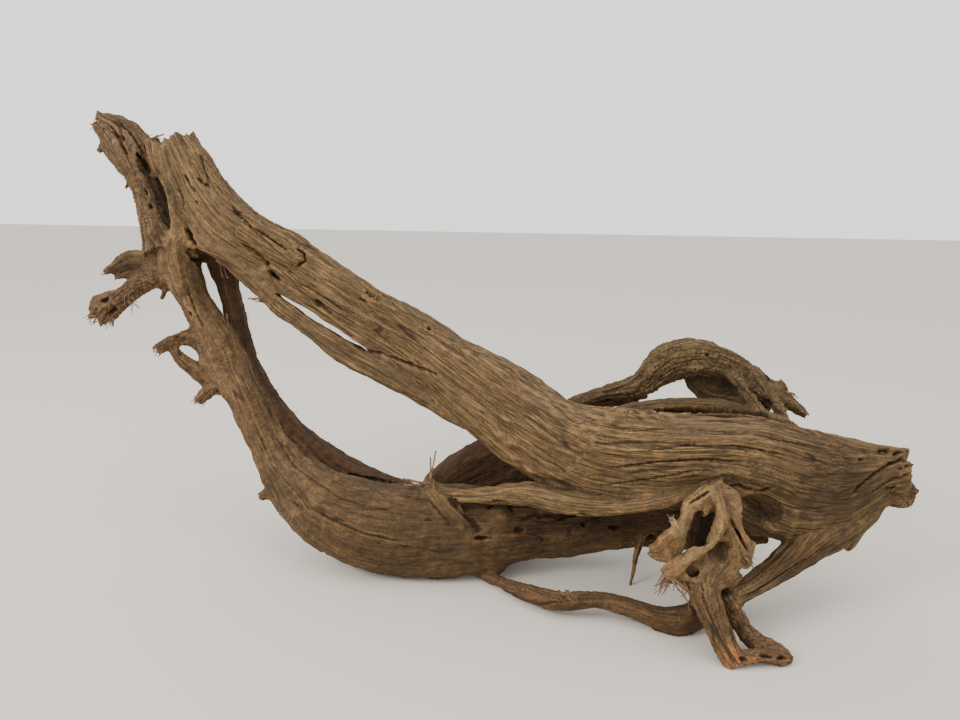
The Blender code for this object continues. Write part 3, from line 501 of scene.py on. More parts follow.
# A hollow is an egg cut out of the wood: (centre, half sizes in millimetres, turn in degrees about X and Y)
HOLLOWS = {
    "top_hollow": (at(164, 205, 122), (10, 26, 34), (0, -20)),
    "top_slit": (at(144, 164, 146), (3, 20, 18), (0, -25)),
    "plank_slit": (in_metres(-195, 90, 292), (78, 45, 4), (-11, 32)),
    "plank_sliver": (at(276, 276, 95), (14, 30, 2.2), (-12, 40)),
    "leg_pocket": (at(203, 256, 108), (15, 18, 9), (0, 30)),
    "trunk_eye": (at(765, 520, -101), (32, 40, 23), (0, 14)),
    "belly_dip": (at(524, 534, -50), (42, 26, 24), (0, 8)),
    "arch_cave": (at(727, 388, 66), (12, 24, 8), (0, 20)),
    "arch_hole": (at(754, 390, 40), (4, 12, 4), (0, 0)),
    "arch_gap": (at(771, 405, 30), (4, 20, 4), (0, 30)),
    "web_hole": (at(699, 514, -106), (5.5, 18, 4.8), (0, 20)),
    "web_window": (at(699, 535, -114), (12.5, 22, 19), (0, 14)),
    "web_slot": (at(738, 533, -118), (1.6, 10, 20), (0, -32)),
    "cup_dip": (at(719, 553, -124), (13.5, 20, 9), (0, -6)),
    "knob_hole": (at(692, 573, -141), (8, 16, 4.2), (0, 5)),
    "stub_notch": (at(117, 284, 112), (12, 20, 5), (0, -20)),
}

# Marks on the wood, each by points of the picture, with sizes in millimetres along and across the grain

# (u, v, half length, half width, depth)
PITS = (
    (375, 296, 13, 4.2, 9), (363, 301, 6, 2.4, 5), (322, 306, 14, 4.5, 5), (430, 328, 4, 3, 5),
    (196, 203, 3, 2, 3), (123, 139, 5, 2.5, 4), (861, 459, 3, 2, 4), (887, 452, 4, 3, 5),
    (616, 528, 7, 4, 7), (584, 524, 5, 3, 5), (651, 539, 6, 4, 6), (482, 539, 10, 4, 6),
    (519, 530, 9, 4, 6), (181, 353, 5, 4, 6), (219, 393, 5, 4, 6), (225, 322, 5, 3, 8),
    (150, 205, 4, 2, 4), (146, 192, 4, 2, 4), (708, 354, 3, 3, 4), (893, 489, 8, 3, 6),
    (905, 459, 6, 3, 5), (190, 314, 4, 3, 3), (104, 300, 6, 3, 4), (112, 312, 6, 3, 6),
    (176, 336, 6, 3, 4), (745, 662, 6, 4, 4), (692, 573, 7, 4, 6), (768, 656, 8, 4, 5),
    (784, 659, 7, 4, 5), (296, 505, 6, 2, 2), (340, 520, 7, 2, 1.5), (405, 548, 7, 2, 1.5),
    (430, 520, 6, 2, 1.5),
)

# (u, v, half length, half width, rise)
KNOTS = (
    (501, 516, 15, 12, 7.5), (511, 443, 12, 10, 7.5), (515, 456, 9, 8, 5), (500, 434, 10, 7, 4),
    (750, 474, 18, 10, 3.5), (769, 527, 16, 7, 5), (452, 398, 12, 8, 2), (197, 366, 12, 10, 3),
    (150, 232, 10, 12, 3), (530, 470, 12, 9, 3), (505, 420, 10, 8, 2), (690, 346, 12, 10, 2),
    (758, 372, 10, 8, 3), (690, 612, 6, 6, 4), (212, 352, 10, 8, 2), (470, 556, 12, 10, 2),
)

# (points of the picture, half width, depth)
CRACKS = (
    (((727, 488), (739, 486), (746, 490), (754, 493), (765, 492), (773, 487)), 2.2, 6),
    (((366, 350), (402, 361), (439, 375)), 2.2, 5), (((137, 153), (147, 163), (152, 177)), 3, 10),
    (((187, 249), (198, 261), (212, 270)), 5, 9),
    (((447, 494), (459, 507), (471, 519), (483, 534)), 4, 3.5),
    (((428, 500), (440, 514), (452, 529)), 2.6, 1.2),
    (((486, 509), (496, 502), (508, 504), (515, 514)), 3.2, 3),
    (((520, 520), (536, 514), (560, 516), (590, 514)), 3.6, 3),
    (((250, 414), (273, 466), (309, 508), (362, 534), (410, 544)), 1.4, 1.4),
    (((268, 424), (296, 468), (340, 498), (400, 512)), 1.4, 1.4),
    (((300, 440), (336, 474), (384, 496), (430, 500)), 1.4, 1.4),
    (((183, 174), (190, 186), (197, 193)), 2, 4), (((197, 178), (203, 184), (209, 186)), 2, 4),
    (((176, 189), (180, 195), (184, 207)), 2, 4), (((186, 227), (191, 238), (197, 249)), 3, 7),
    (((296, 249), (304, 253), (305, 261), (297, 267)), 1.8, 4),
    (((597, 406), (623, 411), (647, 413), (679, 411), (718, 409), (750, 412), (774, 417),
     (796, 425)), 4.2, 12),
    (((913, 457), (890, 464), (864, 481), (848, 498)), 2, 4.5),
    (((914, 474), (893, 481), (872, 492)), 2.4, 5.5), (((912, 450), (892, 455)), 2, 5),
    (((913, 465), (898, 470)), 1.6, 4), (((893, 445), (886, 449), (878, 453)), 2.6, 5),
    (((830, 546), (800, 563), (765, 585), (744, 598)), 1.3, 2),
    (((241, 244), (259, 256), (270, 267)), 2.6, 7),
    (((232, 206), (250, 226), (272, 240), (290, 252)), 1.6, 4),
    (((256, 250), (276, 262), (296, 275)), 1.4, 4), (((300, 283), (330, 301), (352, 316)), 1.3, 3),
    (((640, 452), (690, 444), (740, 446), (790, 456)), 1.2, 2.5),
    (((610, 468), (660, 462), (706, 460), (742, 462)), 1.4, 3),
    (((600, 486), (650, 480), (700, 470)), 1.3, 2.5),
    (((620, 432), (680, 428), (750, 434), (820, 448)), 1.2, 2.5),
    (((688, 504), (700, 497), (712, 490)), 2, 4),
    (((730, 517), (736, 531), (744, 543), (750, 553)), 1.6, 4),
    (((330, 470), (365, 478), (402, 482)), 2.4, 6), (((187, 288), (196, 312), (205, 330)), 1.2, 2),
    (((118, 120), (131, 133), (143, 150)), 1.4, 4), (((108, 122), (118, 138), (127, 155)), 1.4, 4),
)

# (points of the picture, half width, rise)
CORDS = (
    (((262, 392), (283, 438), (318, 472), (372, 492), (420, 500)), 7, 2.5),
    (((236, 372), (258, 440), (290, 496), (340, 528)), 6, 1.8),
    (((300, 500), (350, 516), (404, 530), (450, 548)), 5, 1.5),
    (((452, 493), (490, 490), (513, 491), (530, 494)), 4.5, 4),
    (((706, 478), (722, 471), (742, 472), (760, 480), (776, 482)), 4, 3),
    (((797, 508), (793, 527), (784, 544), (771, 556)), 6, 2),
    (((164, 248), (174, 236), (178, 262), (184, 290)), 5, 3),
    (((590, 410), (623, 416), (647, 418), (679, 416), (719, 414), (750, 417), (774, 422), (798, 429),
     (835, 436)), 3.2, 2.2),
)

# Stains of the wood's own colours, and patches of painted shade: the near-black, shaded brown and dark brown
# ones, in recesses, under the belly, lip and trunk, on the horn and on the trunk's right end
# (u, v, half length, half width, colour, strength)
STAINS_AND_PAINTED_SHADE = (
    (182, 300, 40, 8, PINK_TAN, 0.7), (214, 375, 50, 9, PINK_TAN, 0.6), (240, 430, 50, 10, PINK_TAN, 0.7),
    (258, 486, 40, 12, PINK_TAN, 0.7), (290, 525, 40, 10, PINK_TAN, 0.5),
    (735, 660, 22, 18, FOOT_ORANGE, 0.9), (748, 664, 16, 12, FOOT_ORANGE, 0.7),
    (905, 494, 22, 16, BARK_BROWN, 0.8), (664, 545, 18, 14, WEB_ORANGE, 0.7),
    (672, 575, 14, 10, WEB_ORANGE, 0.7), (744, 530, 14, 5, WEB_ORANGE, 0.7),
    (745, 562, 8, 6, PAINTED_SHADE_BROWN, 0.8), (692, 573, 10, 6, PAINTED_SHADE_BROWN, 0.9),
    (699, 514, 7, 6, PAINTED_SHADE_BROWN, 0.8), (700, 536, 10, 16, PAINTED_SHADE_BROWN, 0.5),
    (719, 552, 16, 11, PAINTED_SHADE_BROWN, 0.85), (612, 528, 80, 12, DARK_BROWN, 0.8),
    (560, 528, 50, 12, DARK_BROWN, 0.8), (524, 534, 34, 18, DARK_BROWN, 0.7),
    (128, 270, 30, 16, BARK_BROWN, 0.7), (760, 508, 26, 13, DARK_BROWN, 0.6),
    (764, 545, 22, 10, DARK_BROWN, 0.8), (800, 560, 80, 24, DARK_BROWN, 0.6),
    (835, 485, 75, 60, SHADED_BROWN, 0.85), (700, 408, 80, 12, BELLY_BROWN, 0.6),
    (429, 486, 8, 6, RED_BROWN, 0.9), (301, 254, 7, 9, RED_BROWN, 0.9),
    (203, 257, 20, 13, PAINTED_SHADE_BROWN, 0.85), (128, 268, 34, 22, SHADED_BROWN, 0.85),
    (226, 264, 16, 10, PAINTED_SHADE_BROWN, 0.5), (727, 389, 14, 8, PAINTED_SHADE_BROWN, 0.8),
    (742, 408, 18, 6, PAINTED_SHADE_BROWN, 0.7), (164, 205, 30, 8, PAINTED_SHADE_BROWN, 0.7),
    (470, 545, 40, 10, SHADED_BROWN, 0.6), (360, 545, 90, 14, SHADED_BROWN, 0.5),
    (300, 480, 50, 14, PINK_TAN, 0.25),
)

# Frayed ends: (u, v, spread across, spread down, heading across, heading down, how many, length)
FRAYS = (
    (98, 314, 8, 5, -0.7, 0.8, 34, 10), (112, 318, 6, 4, 0, 1, 24, 10), (128, 298, 5, 4, 0.7, 0.9, 8, 14),
    (106, 272, 3, 2, -1, 0.2, 6, 6), (158, 350, 4, 4, -0.8, 0.8, 22, 8),
    (170, 336, 8, 2, -0.2, -1, 12, 6), (200, 398, 5, 4, -0.8, 0.8, 20, 8),
    (664, 578, 7, 5, -0.5, 1, 46, 14), (680, 580, 8, 4, 0.7, 0.9, 9, 20),
    (690, 586, 8, 5, -0.3, 1, 8, 12), (672, 519, 3, 2, -0.4, -1, 8, 6), (748, 558, 4, 5, 0.7, 0.8, 14, 7),
    (572, 601, 9, 2, -0.7, -0.8, 14, 14), (520, 592, 5, 2, -0.8, -0.5, 5, 10),
    (430, 486, 4, 3, -0.5, -0.6, 10, 8), (790, 396, 6, 5, 0.9, 0.6, 20, 7),
    (786, 414, 4, 4, 0.3, 1, 12, 8), (900, 462, 8, 10, 1, 0.1, 14, 5), (905, 500, 6, 4, 0.7, 0.8, 10, 5),
    (98, 124, 4, 5, -0.8, 0.6, 12, 6), (150, 139, 8, 2, 0.9, -0.4, 9, 10),
    (276, 300, 6, 3, -1, 0.2, 6, 8), (284, 512, 6, 4, -0.6, 0.9, 8, 5), (226, 322, 4, 3, -0.2, -1, 10, 8),
)

# Splinters that stand out, as rows of the same kind
SPLINTERS = (
    (430, 480, 1, 1, -0.02, -1, 3, 44), (427, 484, 2, 1, -1, -0.12, 4, 28),
    (152, 138, 3, 1, 1, -0.5, 2, 16), (262, 300, 2, 2, -1, 0.1, 2, 16), (226, 323, 2, 2, -0.5, -1, 4, 12),
    (222, 268, 2, 2, 0.3, 1, 2, 12), (802, 411, 1, 1, 0.8, 0.6, 3, 10), (788, 392, 3, 2, 1, 0.3, 5, 8),
    (786, 416, 2, 2, 0.4, 1, 3, 10), (904, 466, 3, 8, 1, 0, 3, 5), (672, 578, 2, 2, 0.8, 0.7, 3, 26),
    (661, 578, 3, 3, -0.3, 1, 5, 18), (570, 600, 6, 1, -0.8, -0.8, 5, 18),
    (96, 121, 2, 3, -0.9, 0.5, 3, 7), (296, 258, 2, 6, 1, 0.3, 5, 7), (746, 560, 3, 4, 0.6, 0.8, 3, 8),
)

# Hairs along an edge: (points of the picture just inside it, side they leave by, how many, length)
HAIR_EDGES = (
    (((244, 272), (248, 292), (249, 322), (260, 360), (277, 386), (300, 418)), 1, 60, 5),
    (((300, 418), (328, 440), (364, 459), (400, 473)), 1, 30, 4),
    (((178, 292), (188, 318), (206, 356), (234, 404), (247, 440), (262, 480)), -1, 40, 3),
    (((262, 482), (286, 513), (309, 539), (352, 561)), -1, 22, 3),
    (((212, 156), (221, 172), (237, 192), (264, 219), (292, 237), (320, 258), (358, 273)), 1, 60, 4),
    (((386, 296), (437, 327), (502, 365), (574, 402)), 1, 40, 3),
    (((246, 284), (259, 299), (292, 328), (363, 370), (449, 416)), -1, 34, 3),
    (((688, 598), (700, 613), (709, 631), (716, 650)), -1, 20, 4),
    (((654, 352), (672, 345), (700, 343), (740, 360), (780, 384)), 1, 26, 3),
)


# Noise


def make_slopes():
    slopes = np.random.default_rng(SLOPE_SEED).normal(size=(SLOPE_COUNT, 3))
    return (slopes / np.linalg.norm(slopes, axis=1)[:, None]).astype(np.float32)


SLOPES = make_slopes()


def noise(places, seed):
    """Smooth gradient noise, about -1 to 1, for each row of places."""
    places = np.asarray(places, dtype=np.float32)
    cell = np.floor(places)
    local = places - cell
    cell = cell.astype(np.int32).astype(np.uint32)
    fade = local * local * local * (local * (local * 6 - 15) + 10)
    total = np.zeros(len(places), dtype=np.float32)
    for corner in itertools.product((0, 1), repeat=3):
        key = np.full(len(places), seed * HASH_SEED + HASH_START, dtype=np.uint32)
        for axis in range(3):
            key ^= (cell[:, axis] + np.uint32(corner[axis])) * HASH_FACTORS[axis]
            key ^= key >> np.uint32(15)
            key *= HASH_MIX
        key ^= key >> np.uint32(13)
        slope = SLOPES[key & np.uint32(SLOPE_COUNT - 1)]
        step = local - np.array(corner, dtype=np.float32)
        share = np.prod(np.where(np.array(corner, dtype=bool), fade, 1 - fade), axis=1)
        total += (step * slope).sum(axis=1) * share
    return total * NOISE_GAIN


def uneven(points, layers):
    """The sum of layers of noise, each with its size, strength and seed."""
    return sum(strength * noise(points / size, seed) for size, strength, seed in layers)


def soft_step(value, low, high):
    """0 below low and 1 above high, with a smooth way between them."""
    share = np.clip((value - low) / (high - low), 0.0, 1.0)
    return share * share * (3 - 2 * share)


# The limbs as tubes


def smooth_route(stations):
    """Catmull-Rom rows through the stations, about SAMPLE_STEP apart."""
    rows = np.array(stations, dtype=float)
    padded = np.vstack([2 * rows[0] - rows[1], rows, 2 * rows[-1] - rows[-2]])
    route = []
    for before, start, end, after in zip(padded, padded[1:], padded[2:], padded[3:]):
        count = max(2, int(round(np.linalg.norm(end[:3] - start[:3]) / SAMPLE_STEP)))
        for t in np.arange(count) / count:
            route.append(0.5 * (2 * start + (end - before) * t
                                + (2 * before - 5 * start + 4 * end - after) * t ** 2
                                + (3 * start - before - 3 * end + after) * t ** 3))
    route.append(rows[-1])
    return np.array(route)


def limb_axes(centre, turn):
    """Unit vectors along the limb, across its broad face and through it, one row for each ring."""
    tangent = np.gradient(centre, axis=0)
    tangent /= np.linalg.norm(tangent, axis=1)[:, None]
    depth_axis = np.array([0.0, 1.0, 0.0]) - tangent * tangent[:, 1:2]
    depth_axis /= np.linalg.norm(depth_axis, axis=1)[:, None]
    width_axis = np.cross(tangent, depth_axis)
    leaning_width = math.cos(turn) * width_axis + math.sin(turn) * depth_axis
    leaning_depth = math.cos(turn) * depth_axis - math.sin(turn) * width_axis
    return tangent, leaning_width, leaning_depth


def signed_power(value, power):
    return np.sign(value) * np.abs(value) ** power


def uneven_size(angle, along, seed):
    """Slow bulges and dents of a limb, as a factor on its section."""
    factor = 1.0
    for strength, waves_round, waves_along, seed_step in BULGES:
        factor = factor + strength * np.sin(waves_round * angle + waves_along * along + seed_step * seed)
    return factor


def ridge_height(spec, angle, along):
    """Rounded grain ridges with sharp grooves between them, which wander slowly round the limb."""
    wander = RIDGE_WANDER * np.sin(RIDGE_WANDER_RATE * along + spec["seed"])
    crest = np.abs(np.sin(0.5 * spec["ridges"] * angle + wander))
    return spec["ridge_depth"] * (crest - RIDGE_MIDDLE)


def broken_end(spec, angle, left_to_end):
    """How far each point near the last ring moves along the limb, for a ragged break."""
    near_end = np.clip(1.0 - left_to_end / (RAGGED_REACH * spec["ragged"]), 0.0, 1.0)
    teeth = 0.0
    for strength, count, seed_step in BREAK_TEETH:
        teeth = teeth + strength * np.sin(count * angle + seed_step * spec["seed"])
    return spec["ragged"] * near_end * teeth


def add_skeleton(spec):
    """The limb's middle line, its axes and half sizes at each ring, kept with the limb."""
    route = smooth_route(spec["stations"])
    spec["centre"] = route[:, :3] + FRAME_SHIFT
    spec["half_width"], spec["half_depth"] = route[:, 3], route[:, 4]
    spec["tangent"], spec["width_axis"], spec["depth_axis"] = limb_axes(spec["centre"], spec["turn"])
    steps = np.linalg.norm(np.diff(spec["centre"], axis=0), axis=1)
    spec["along"] = np.concatenate([[0.0], np.cumsum(steps)])


def limb_rings(spec):
    """Rings of points along a limb, as an array of rings x points x 3."""
    half_width, half_depth = spec["half_width"][:, None], spec["half_depth"][:, None]
    along = spec["along"][:, None]
    angle = np.linspace(0.0, 2 * math.pi, RING_POINTS, endpoint=False)[None, :]
    size = uneven_size(angle, along, spec["seed"])
    if spec["ridges"]:
        size = size * (1.0 + ridge_height(spec, angle, along) / np.minimum(half_width, half_depth))
    across = signed_power(np.cos(angle), 2.0 / spec["squareness"]) * size * half_width
    deep = signed_power(np.sin(angle), 2.0 / spec["squareness"]) * size * half_depth
    rings = spec["centre"][:, None, :] + across[..., None] * spec["width_axis"][:, None, :]
    rings = rings + deep[..., None] * spec["depth_axis"][:, None, :]
    if spec["ragged"]:
        shift = broken_end(spec, angle, along[-1] - along)
        rings = rings + shift[..., None] * spec["tangent"][:, None, :]
    return rings


def add_tube(rings, vertices, faces):
    """Add the closed skin of one limb to the lists of vertices and faces."""
    first = len(vertices)
    count, around = rings.shape[:2]
    vertices.extend(rings.reshape(-1, 3).tolist())
    for ring in range(count - 1):
        for point in range(around):
            a = first + ring * around + point
            b = first + ring * around + (point + 1) % around
            faces.append((a, b, b + around, a + around))
    for ring, flip in ((0, True), (count - 1, False)):
        hub = len(vertices)
        vertices.append(rings[ring].mean(axis=0).tolist())
        start = first + ring * around
        for point in range(around):
            pair = (start + point, start + (point + 1) % around)
            faces.append((hub,) + (pair[::-1] if flip else pair))


def add_object(name, mesh):
    item = bpy.data.objects.new(name, mesh)
    bpy.context.scene.collection.objects.link(item)
    return item


def mesh_object(name, vertices, faces):
    mesh = bpy.data.meshes.new(name)
    mesh.from_pydata(vertices, [], faces)
    return add_object(name, mesh)


def bare_limbs():
    """All limbs as overlapping closed tubes in one mesh."""
    vertices, faces = [], []
    for spec in LIMBS.values():
        add_skeleton(spec)
        add_tube(limb_rings(spec), vertices, faces)
    return mesh_object("mangrove_root_wood", vertices, faces)


def hollow_cutters():
    """The eggs that are cut out of the wood, in a collection of their own."""
    cutters = bpy.data.collections.new("hollows")
    bpy.context.scene.collection.children.link(cutters)
    for name, (centre, half_sizes, (turn_x, turn_y)) in HOLLOWS.items():
        bpy.ops.mesh.primitive_uv_sphere_add(segments=EGG_SEGMENTS, ring_count=EGG_RINGS, radius=1.0)
        egg = bpy.context.object
        egg.name = name
        egg.location = centre + FRAME_SHIFT
        egg.rotation_euler = (math.radians(turn_x), math.radians(turn_y), 0.0)
        egg.scale = in_metres(*half_sizes)
        for place in list(egg.users_collection):
            place.objects.unlink(egg)
        cutters.objects.link(egg)
    return cutters


def add_modifier(item, name, kind, **settings):
    modifier = item.modifiers.new(name, kind)
    for key, value in settings.items():
        setattr(modifier, key, value)
    return modifier


def apply_modifiers(item):
    """Swap the object's mesh for its evaluated one."""
    graph = bpy.context.evaluated_depsgraph_get()
    finished = bpy.data.meshes.new_from_object(item.evaluated_get(graph))
    item.modifiers.clear()
    old = item.data
    item.data = finished
    bpy.data.meshes.remove(old)


def fused_wood():
    """The limbs grown together, with the hollows cut, on a fine grid."""
    root = bare_limbs()
    cutters = hollow_cutters()
    add_modifier(root, "fuse limbs", "REMESH", mode="VOXEL", voxel_size=VOXEL)
    add_modifier(root, "hollows", "BOOLEAN", operand_type="COLLECTION", collection=cutters,
                 operation="DIFFERENCE", solver="MANIFOLD")
    add_modifier(root, "even grid", "REMESH", mode="VOXEL", voxel_size=VOXEL)
    add_modifier(root, "soften", "SMOOTH", factor=SOFTEN_STRENGTH, iterations=SOFTEN_ROUNDS)
    apply_modifiers(root)
    for egg in list(cutters.objects):
        bpy.data.objects.remove(egg, do_unlink=True)
    bpy.data.collections.remove(cutters)
    return root


# The wood's surface: where each point lies in its limb's grain, and what the grain does there


def measured_in_limb(spec, points):
    """The points near a limb, their place in its grain, distance from its skin and grain direction."""
    reach = max(spec["half_width"].max(), spec["half_depth"].max()) + LIMB_REACH
    low = spec["centre"].min(axis=0) - reach
    high = spec["centre"].max(axis=0) + reach
    rows = np.nonzero(((points > low) & (points < high)).all(axis=1))[0]
    near = points[rows]
    nearest = np.empty(len(rows), dtype=int)
    middle_square = (spec["centre"] ** 2).sum(axis=1)
    for first in range(0, len(rows), CHUNK):
        part = near[first:first + CHUNK]
        nearest[first:first + CHUNK] = (middle_square - 2 * part @ spec["centre"].T).argmin(axis=1)
    tangent = spec["tangent"][nearest]
    step = ((near - spec["centre"][nearest]) * tangent).sum(axis=1)
    along = np.clip(spec["along"][nearest] + step, 0.0, spec["along"][-1])
    past_end = spec["along"][nearest] + step - along

    def here(values):
        return np.interp(along, spec["along"], values)

    middle = np.stack([here(spec["centre"][:, axis]) for axis in range(3)], axis=1)
    across = ((near - middle) * spec["width_axis"][nearest]).sum(axis=1)
    deep = ((near - middle) * spec["depth_axis"][nearest]).sum(axis=1)
    share_across = across / here(spec["half_width"])
    share_deep = deep / here(spec["half_depth"])
    power = spec["squareness"]
    size = (np.abs(share_across) ** power + np.abs(share_deep) ** power) ** (1 / power)
    radial = np.hypot(across, deep) * (1 - 1 / np.maximum(size, FLATTEST_SHARE))
    distance = np.hypot(np.maximum(radial, 0.0), past_end)
    grain = np.stack([share_across * spec["half_width"].mean(),
                      share_deep * spec["half_depth"].mean(), along], axis=1)
    return rows, grain, distance, tangent


def past_seam(points):
    """How far points lie past the slanting seam where the plank's grain meets the trunk's."""
    x, z = points[:, 0] - FRAME_SHIFT[0], points[:, 2]
    return x - SEAM_SLOPE * z - SEAM_PLACE


def grain_relief(grain, wood, seed):
    """Height of the long grain in metres, and how deep in a groove each point is, from 0 to 1."""
    bend = np.stack([noise(grain * WAVE_SCALE, seed + 1), noise(grain * WAVE_SCALE, seed + 2)], axis=1)
    waved = grain.copy()
    waved[:, :2] += wood["wave"] * bend
    broad = noise(waved / wood["broad"], seed + 3)
    furrow = 1 - soft_step(np.abs(noise(waved / wood["line"], seed + 4)), 0.0, LINE_WIDTH)
    fine = noise(waved / wood["fine"], seed + 5)
    opened = soft_step(noise(grain / SPLIT_PATCH, seed + 7), 0.0, SPLIT_OPENS)
    split = (1 - soft_step(np.abs(noise(waved / wood["split"], seed + 6)), 0.0, SPLIT_WIDTH)) * opened
    height = (wood["broad_height"] * broad - wood["line_depth"] * furrow
              + wood["fine_height"] * fine - wood["split_depth"] * split)
    # The second value is the grain lines' own dark, and painted shade inside splits
    return height, np.clip(wood["line_dark"] * furrow + split, 0.0, 1.0)


def rough_relief(points, seed):
    """Lumps and pits that follow no grain, as on broken and porous wood."""
    lump_size, lump_height = ROUGH_LUMP
    pit_size, pit_depth = ROUGH_PIT
    pit = np.abs(noise(points / pit_size, seed + 1))
    height = lump_height * noise(points / lump_size, seed)
    height = height - pit_depth * (1 - soft_step(pit, 0.0, ROUGH_PIT_WIDTH))
    # The second value is painted shade inside the pits
    return height, ROUGH_PIT_DARK * (1 - soft_step(pit, 0.0, ROUGH_PIT_DARK_WIDTH))


def relief_of(wood, grain, points, seed):
    """Height and groove of one wood at points with this place in its grain."""
    height, groove = grain_relief(grain, wood, seed)
    if wood["rough"]:
        rough_height, rough_groove = rough_relief(points, seed)
        height = height + wood["rough"] * rough_height
        groove = np.maximum(groove, wood["rough"] * rough_groove)
    return height, groove


def wood_surface(points):
    """What every point takes from the limbs near it, blended between them.

    Height, groove, colour and lined are what the marks and the material go on from. Grain and flow are the
    place in the nearest limb's grain and its direction, number is that limb's, and joint is 1 where two
    limbs' skins meet.
    """
    count = len(points)
    blended = {"height": np.zeros(count), "groove": np.zeros(count), "lined": np.zeros(count),
               "colour": np.zeros((count, 3))}
    weight = np.full(count, TINY)
    nearest, second = np.full(count, np.inf), np.full(count, np.inf)
    grain_place, number = np.zeros((count, 3)), np.zeros(count, dtype=int)
    flow = np.tile([1.0, 0.0, 0.0], (count, 1))
    seam_distance = past_seam(points)
    for own_number, spec in enumerate(LIMBS.values()):
        rows, grain, distance, tangent = measured_in_limb(spec, points)
        if spec["seam"]:
            distance = distance + SEAM_PULL * np.maximum(-spec["seam"] * seam_distance[rows], 0.0)
        share = np.exp(-(distance / BLEND_WIDTH) ** 2)
        kept = share > LEAST_SHARE
        if not kept.any():
            continue
        rows, grain, distance, tangent, share = (
            values[kept] for values in (rows, grain, distance, tangent, share))
        wood = WOODS[spec["wood"]]
        height, groove = relief_of(wood, grain, points[rows], SEED_STEP * own_number)
        blended["height"][rows] += share * height
        blended["groove"][rows] += share * groove
        blended["lined"][rows] += share * wood["lined"]
        blended["colour"][rows] += share[:, None] * wood["colour"]
        weight[rows] += share
        closer = distance < nearest[rows]
        second[rows] = np.where(closer, nearest[rows], np.minimum(second[rows], distance))
        nearest[rows[closer]] = distance[closer]
        grain_place[rows[closer]] = grain[closer] + GRAIN_STEP * own_number
        flow[rows[closer]] = tangent[closer]
        number[rows[closer]] = own_number
    surface = {name: (values.T / weight).T for name, values in blended.items()}
    surface["height"] += uneven(points, LUMPS)
    joint = np.exp(-(second / JOINT_REACH) ** 2)
    return {**surface, "grain": grain_place, "flow": flow, "number": number, "joint": joint}


# Marks, each placed by points of the picture


def point_finder(points, stride=1):
    """Finds the nearest of every point, or of every few."""
    finder = KDTree(len(points[::stride]))
    for number, point in enumerate(points[::stride]):
        finder.insert(point, number * stride)
    finder.balance()
    return finder


def spot(tree, u, v):
    """Where the line of sight through a point of the picture meets the wood, and which way it faces there."""
    place, facing, _, _ = tree.ray_cast(Vector(EYE), Vector(sight(u, v)).normalized())
    if place is None:
        return None, None
    return np.array(place), np.array(facing)


def oval_marks(table, tree, points, surface):
    """For each mark: the rows near it, how far out they lie, 1 at its rim, and its other values."""
    finder = point_finder(points, MARK_STRIDE)
    for u, v, half_long, half_wide, *values in table:
        place, facing = spot(tree, u, v)
        if place is None:
            continue
        half_long, half_wide = in_metres(half_long, half_wide)
        flow = surface["flow"][finder.find(place)[1]]
        along = flow - facing * (flow @ facing)
        along /= max(np.linalg.norm(along), TINY)
        across = np.cross(facing, along)
        reach = max(half_long, half_wide)
        rows = np.nonzero((np.abs(points - place) < OVAL_REACH * reach).all(axis=1))[0]
        offset = points[rows] - place
        out = np.hypot(offset @ along / half_long, offset @ across / half_wide)
        yield rows, out + np.abs(offset @ facing) / (OVAL_DEPTH * reach), values


def path_on_wood(tree, path):
    """Places on the wood under a broken line of picture points, close together."""
    places = []
    for (u, v), (next_u, next_v) in zip(path, path[1:]):
        count = max(2, int(math.hypot(next_u - u, next_v - v) / PATH_STEP))
        for share in np.arange(count) / count:
            place, _ = spot(tree, u + (next_u - u) * share, v + (next_v - v) * share)
            if place is not None:
                places.append(place)
    return np.array(places)


def path_marks(table, tree, points, reach, ends):
    """For each mark: the rows near its path, how far out in its width they lie, its taper and its depth."""
    for path, half_wide, depth in table:
        places = path_on_wood(tree, path)
        if len(places) < 2:
            continue
        half_wide = half_wide / 1000
        span = reach * half_wide
        low, high = places.min(axis=0) - span, places.max(axis=0) + span
        rows = np.nonzero(((points > low) & (points < high)).all(axis=1))[0]
        nearest = ((places ** 2).sum(axis=1) - 2 * points[rows] @ places.T).argmin(axis=1)
        distance = np.linalg.norm(points[rows] - places[nearest], axis=1)
        kept = distance < span
        share = nearest[kept] / (len(places) - 1)
        taper = soft_step(share, *ends[:2]) * (1 - soft_step(share, *ends[2:]))
        yield rows[kept], distance[kept] / half_wide, taper, depth


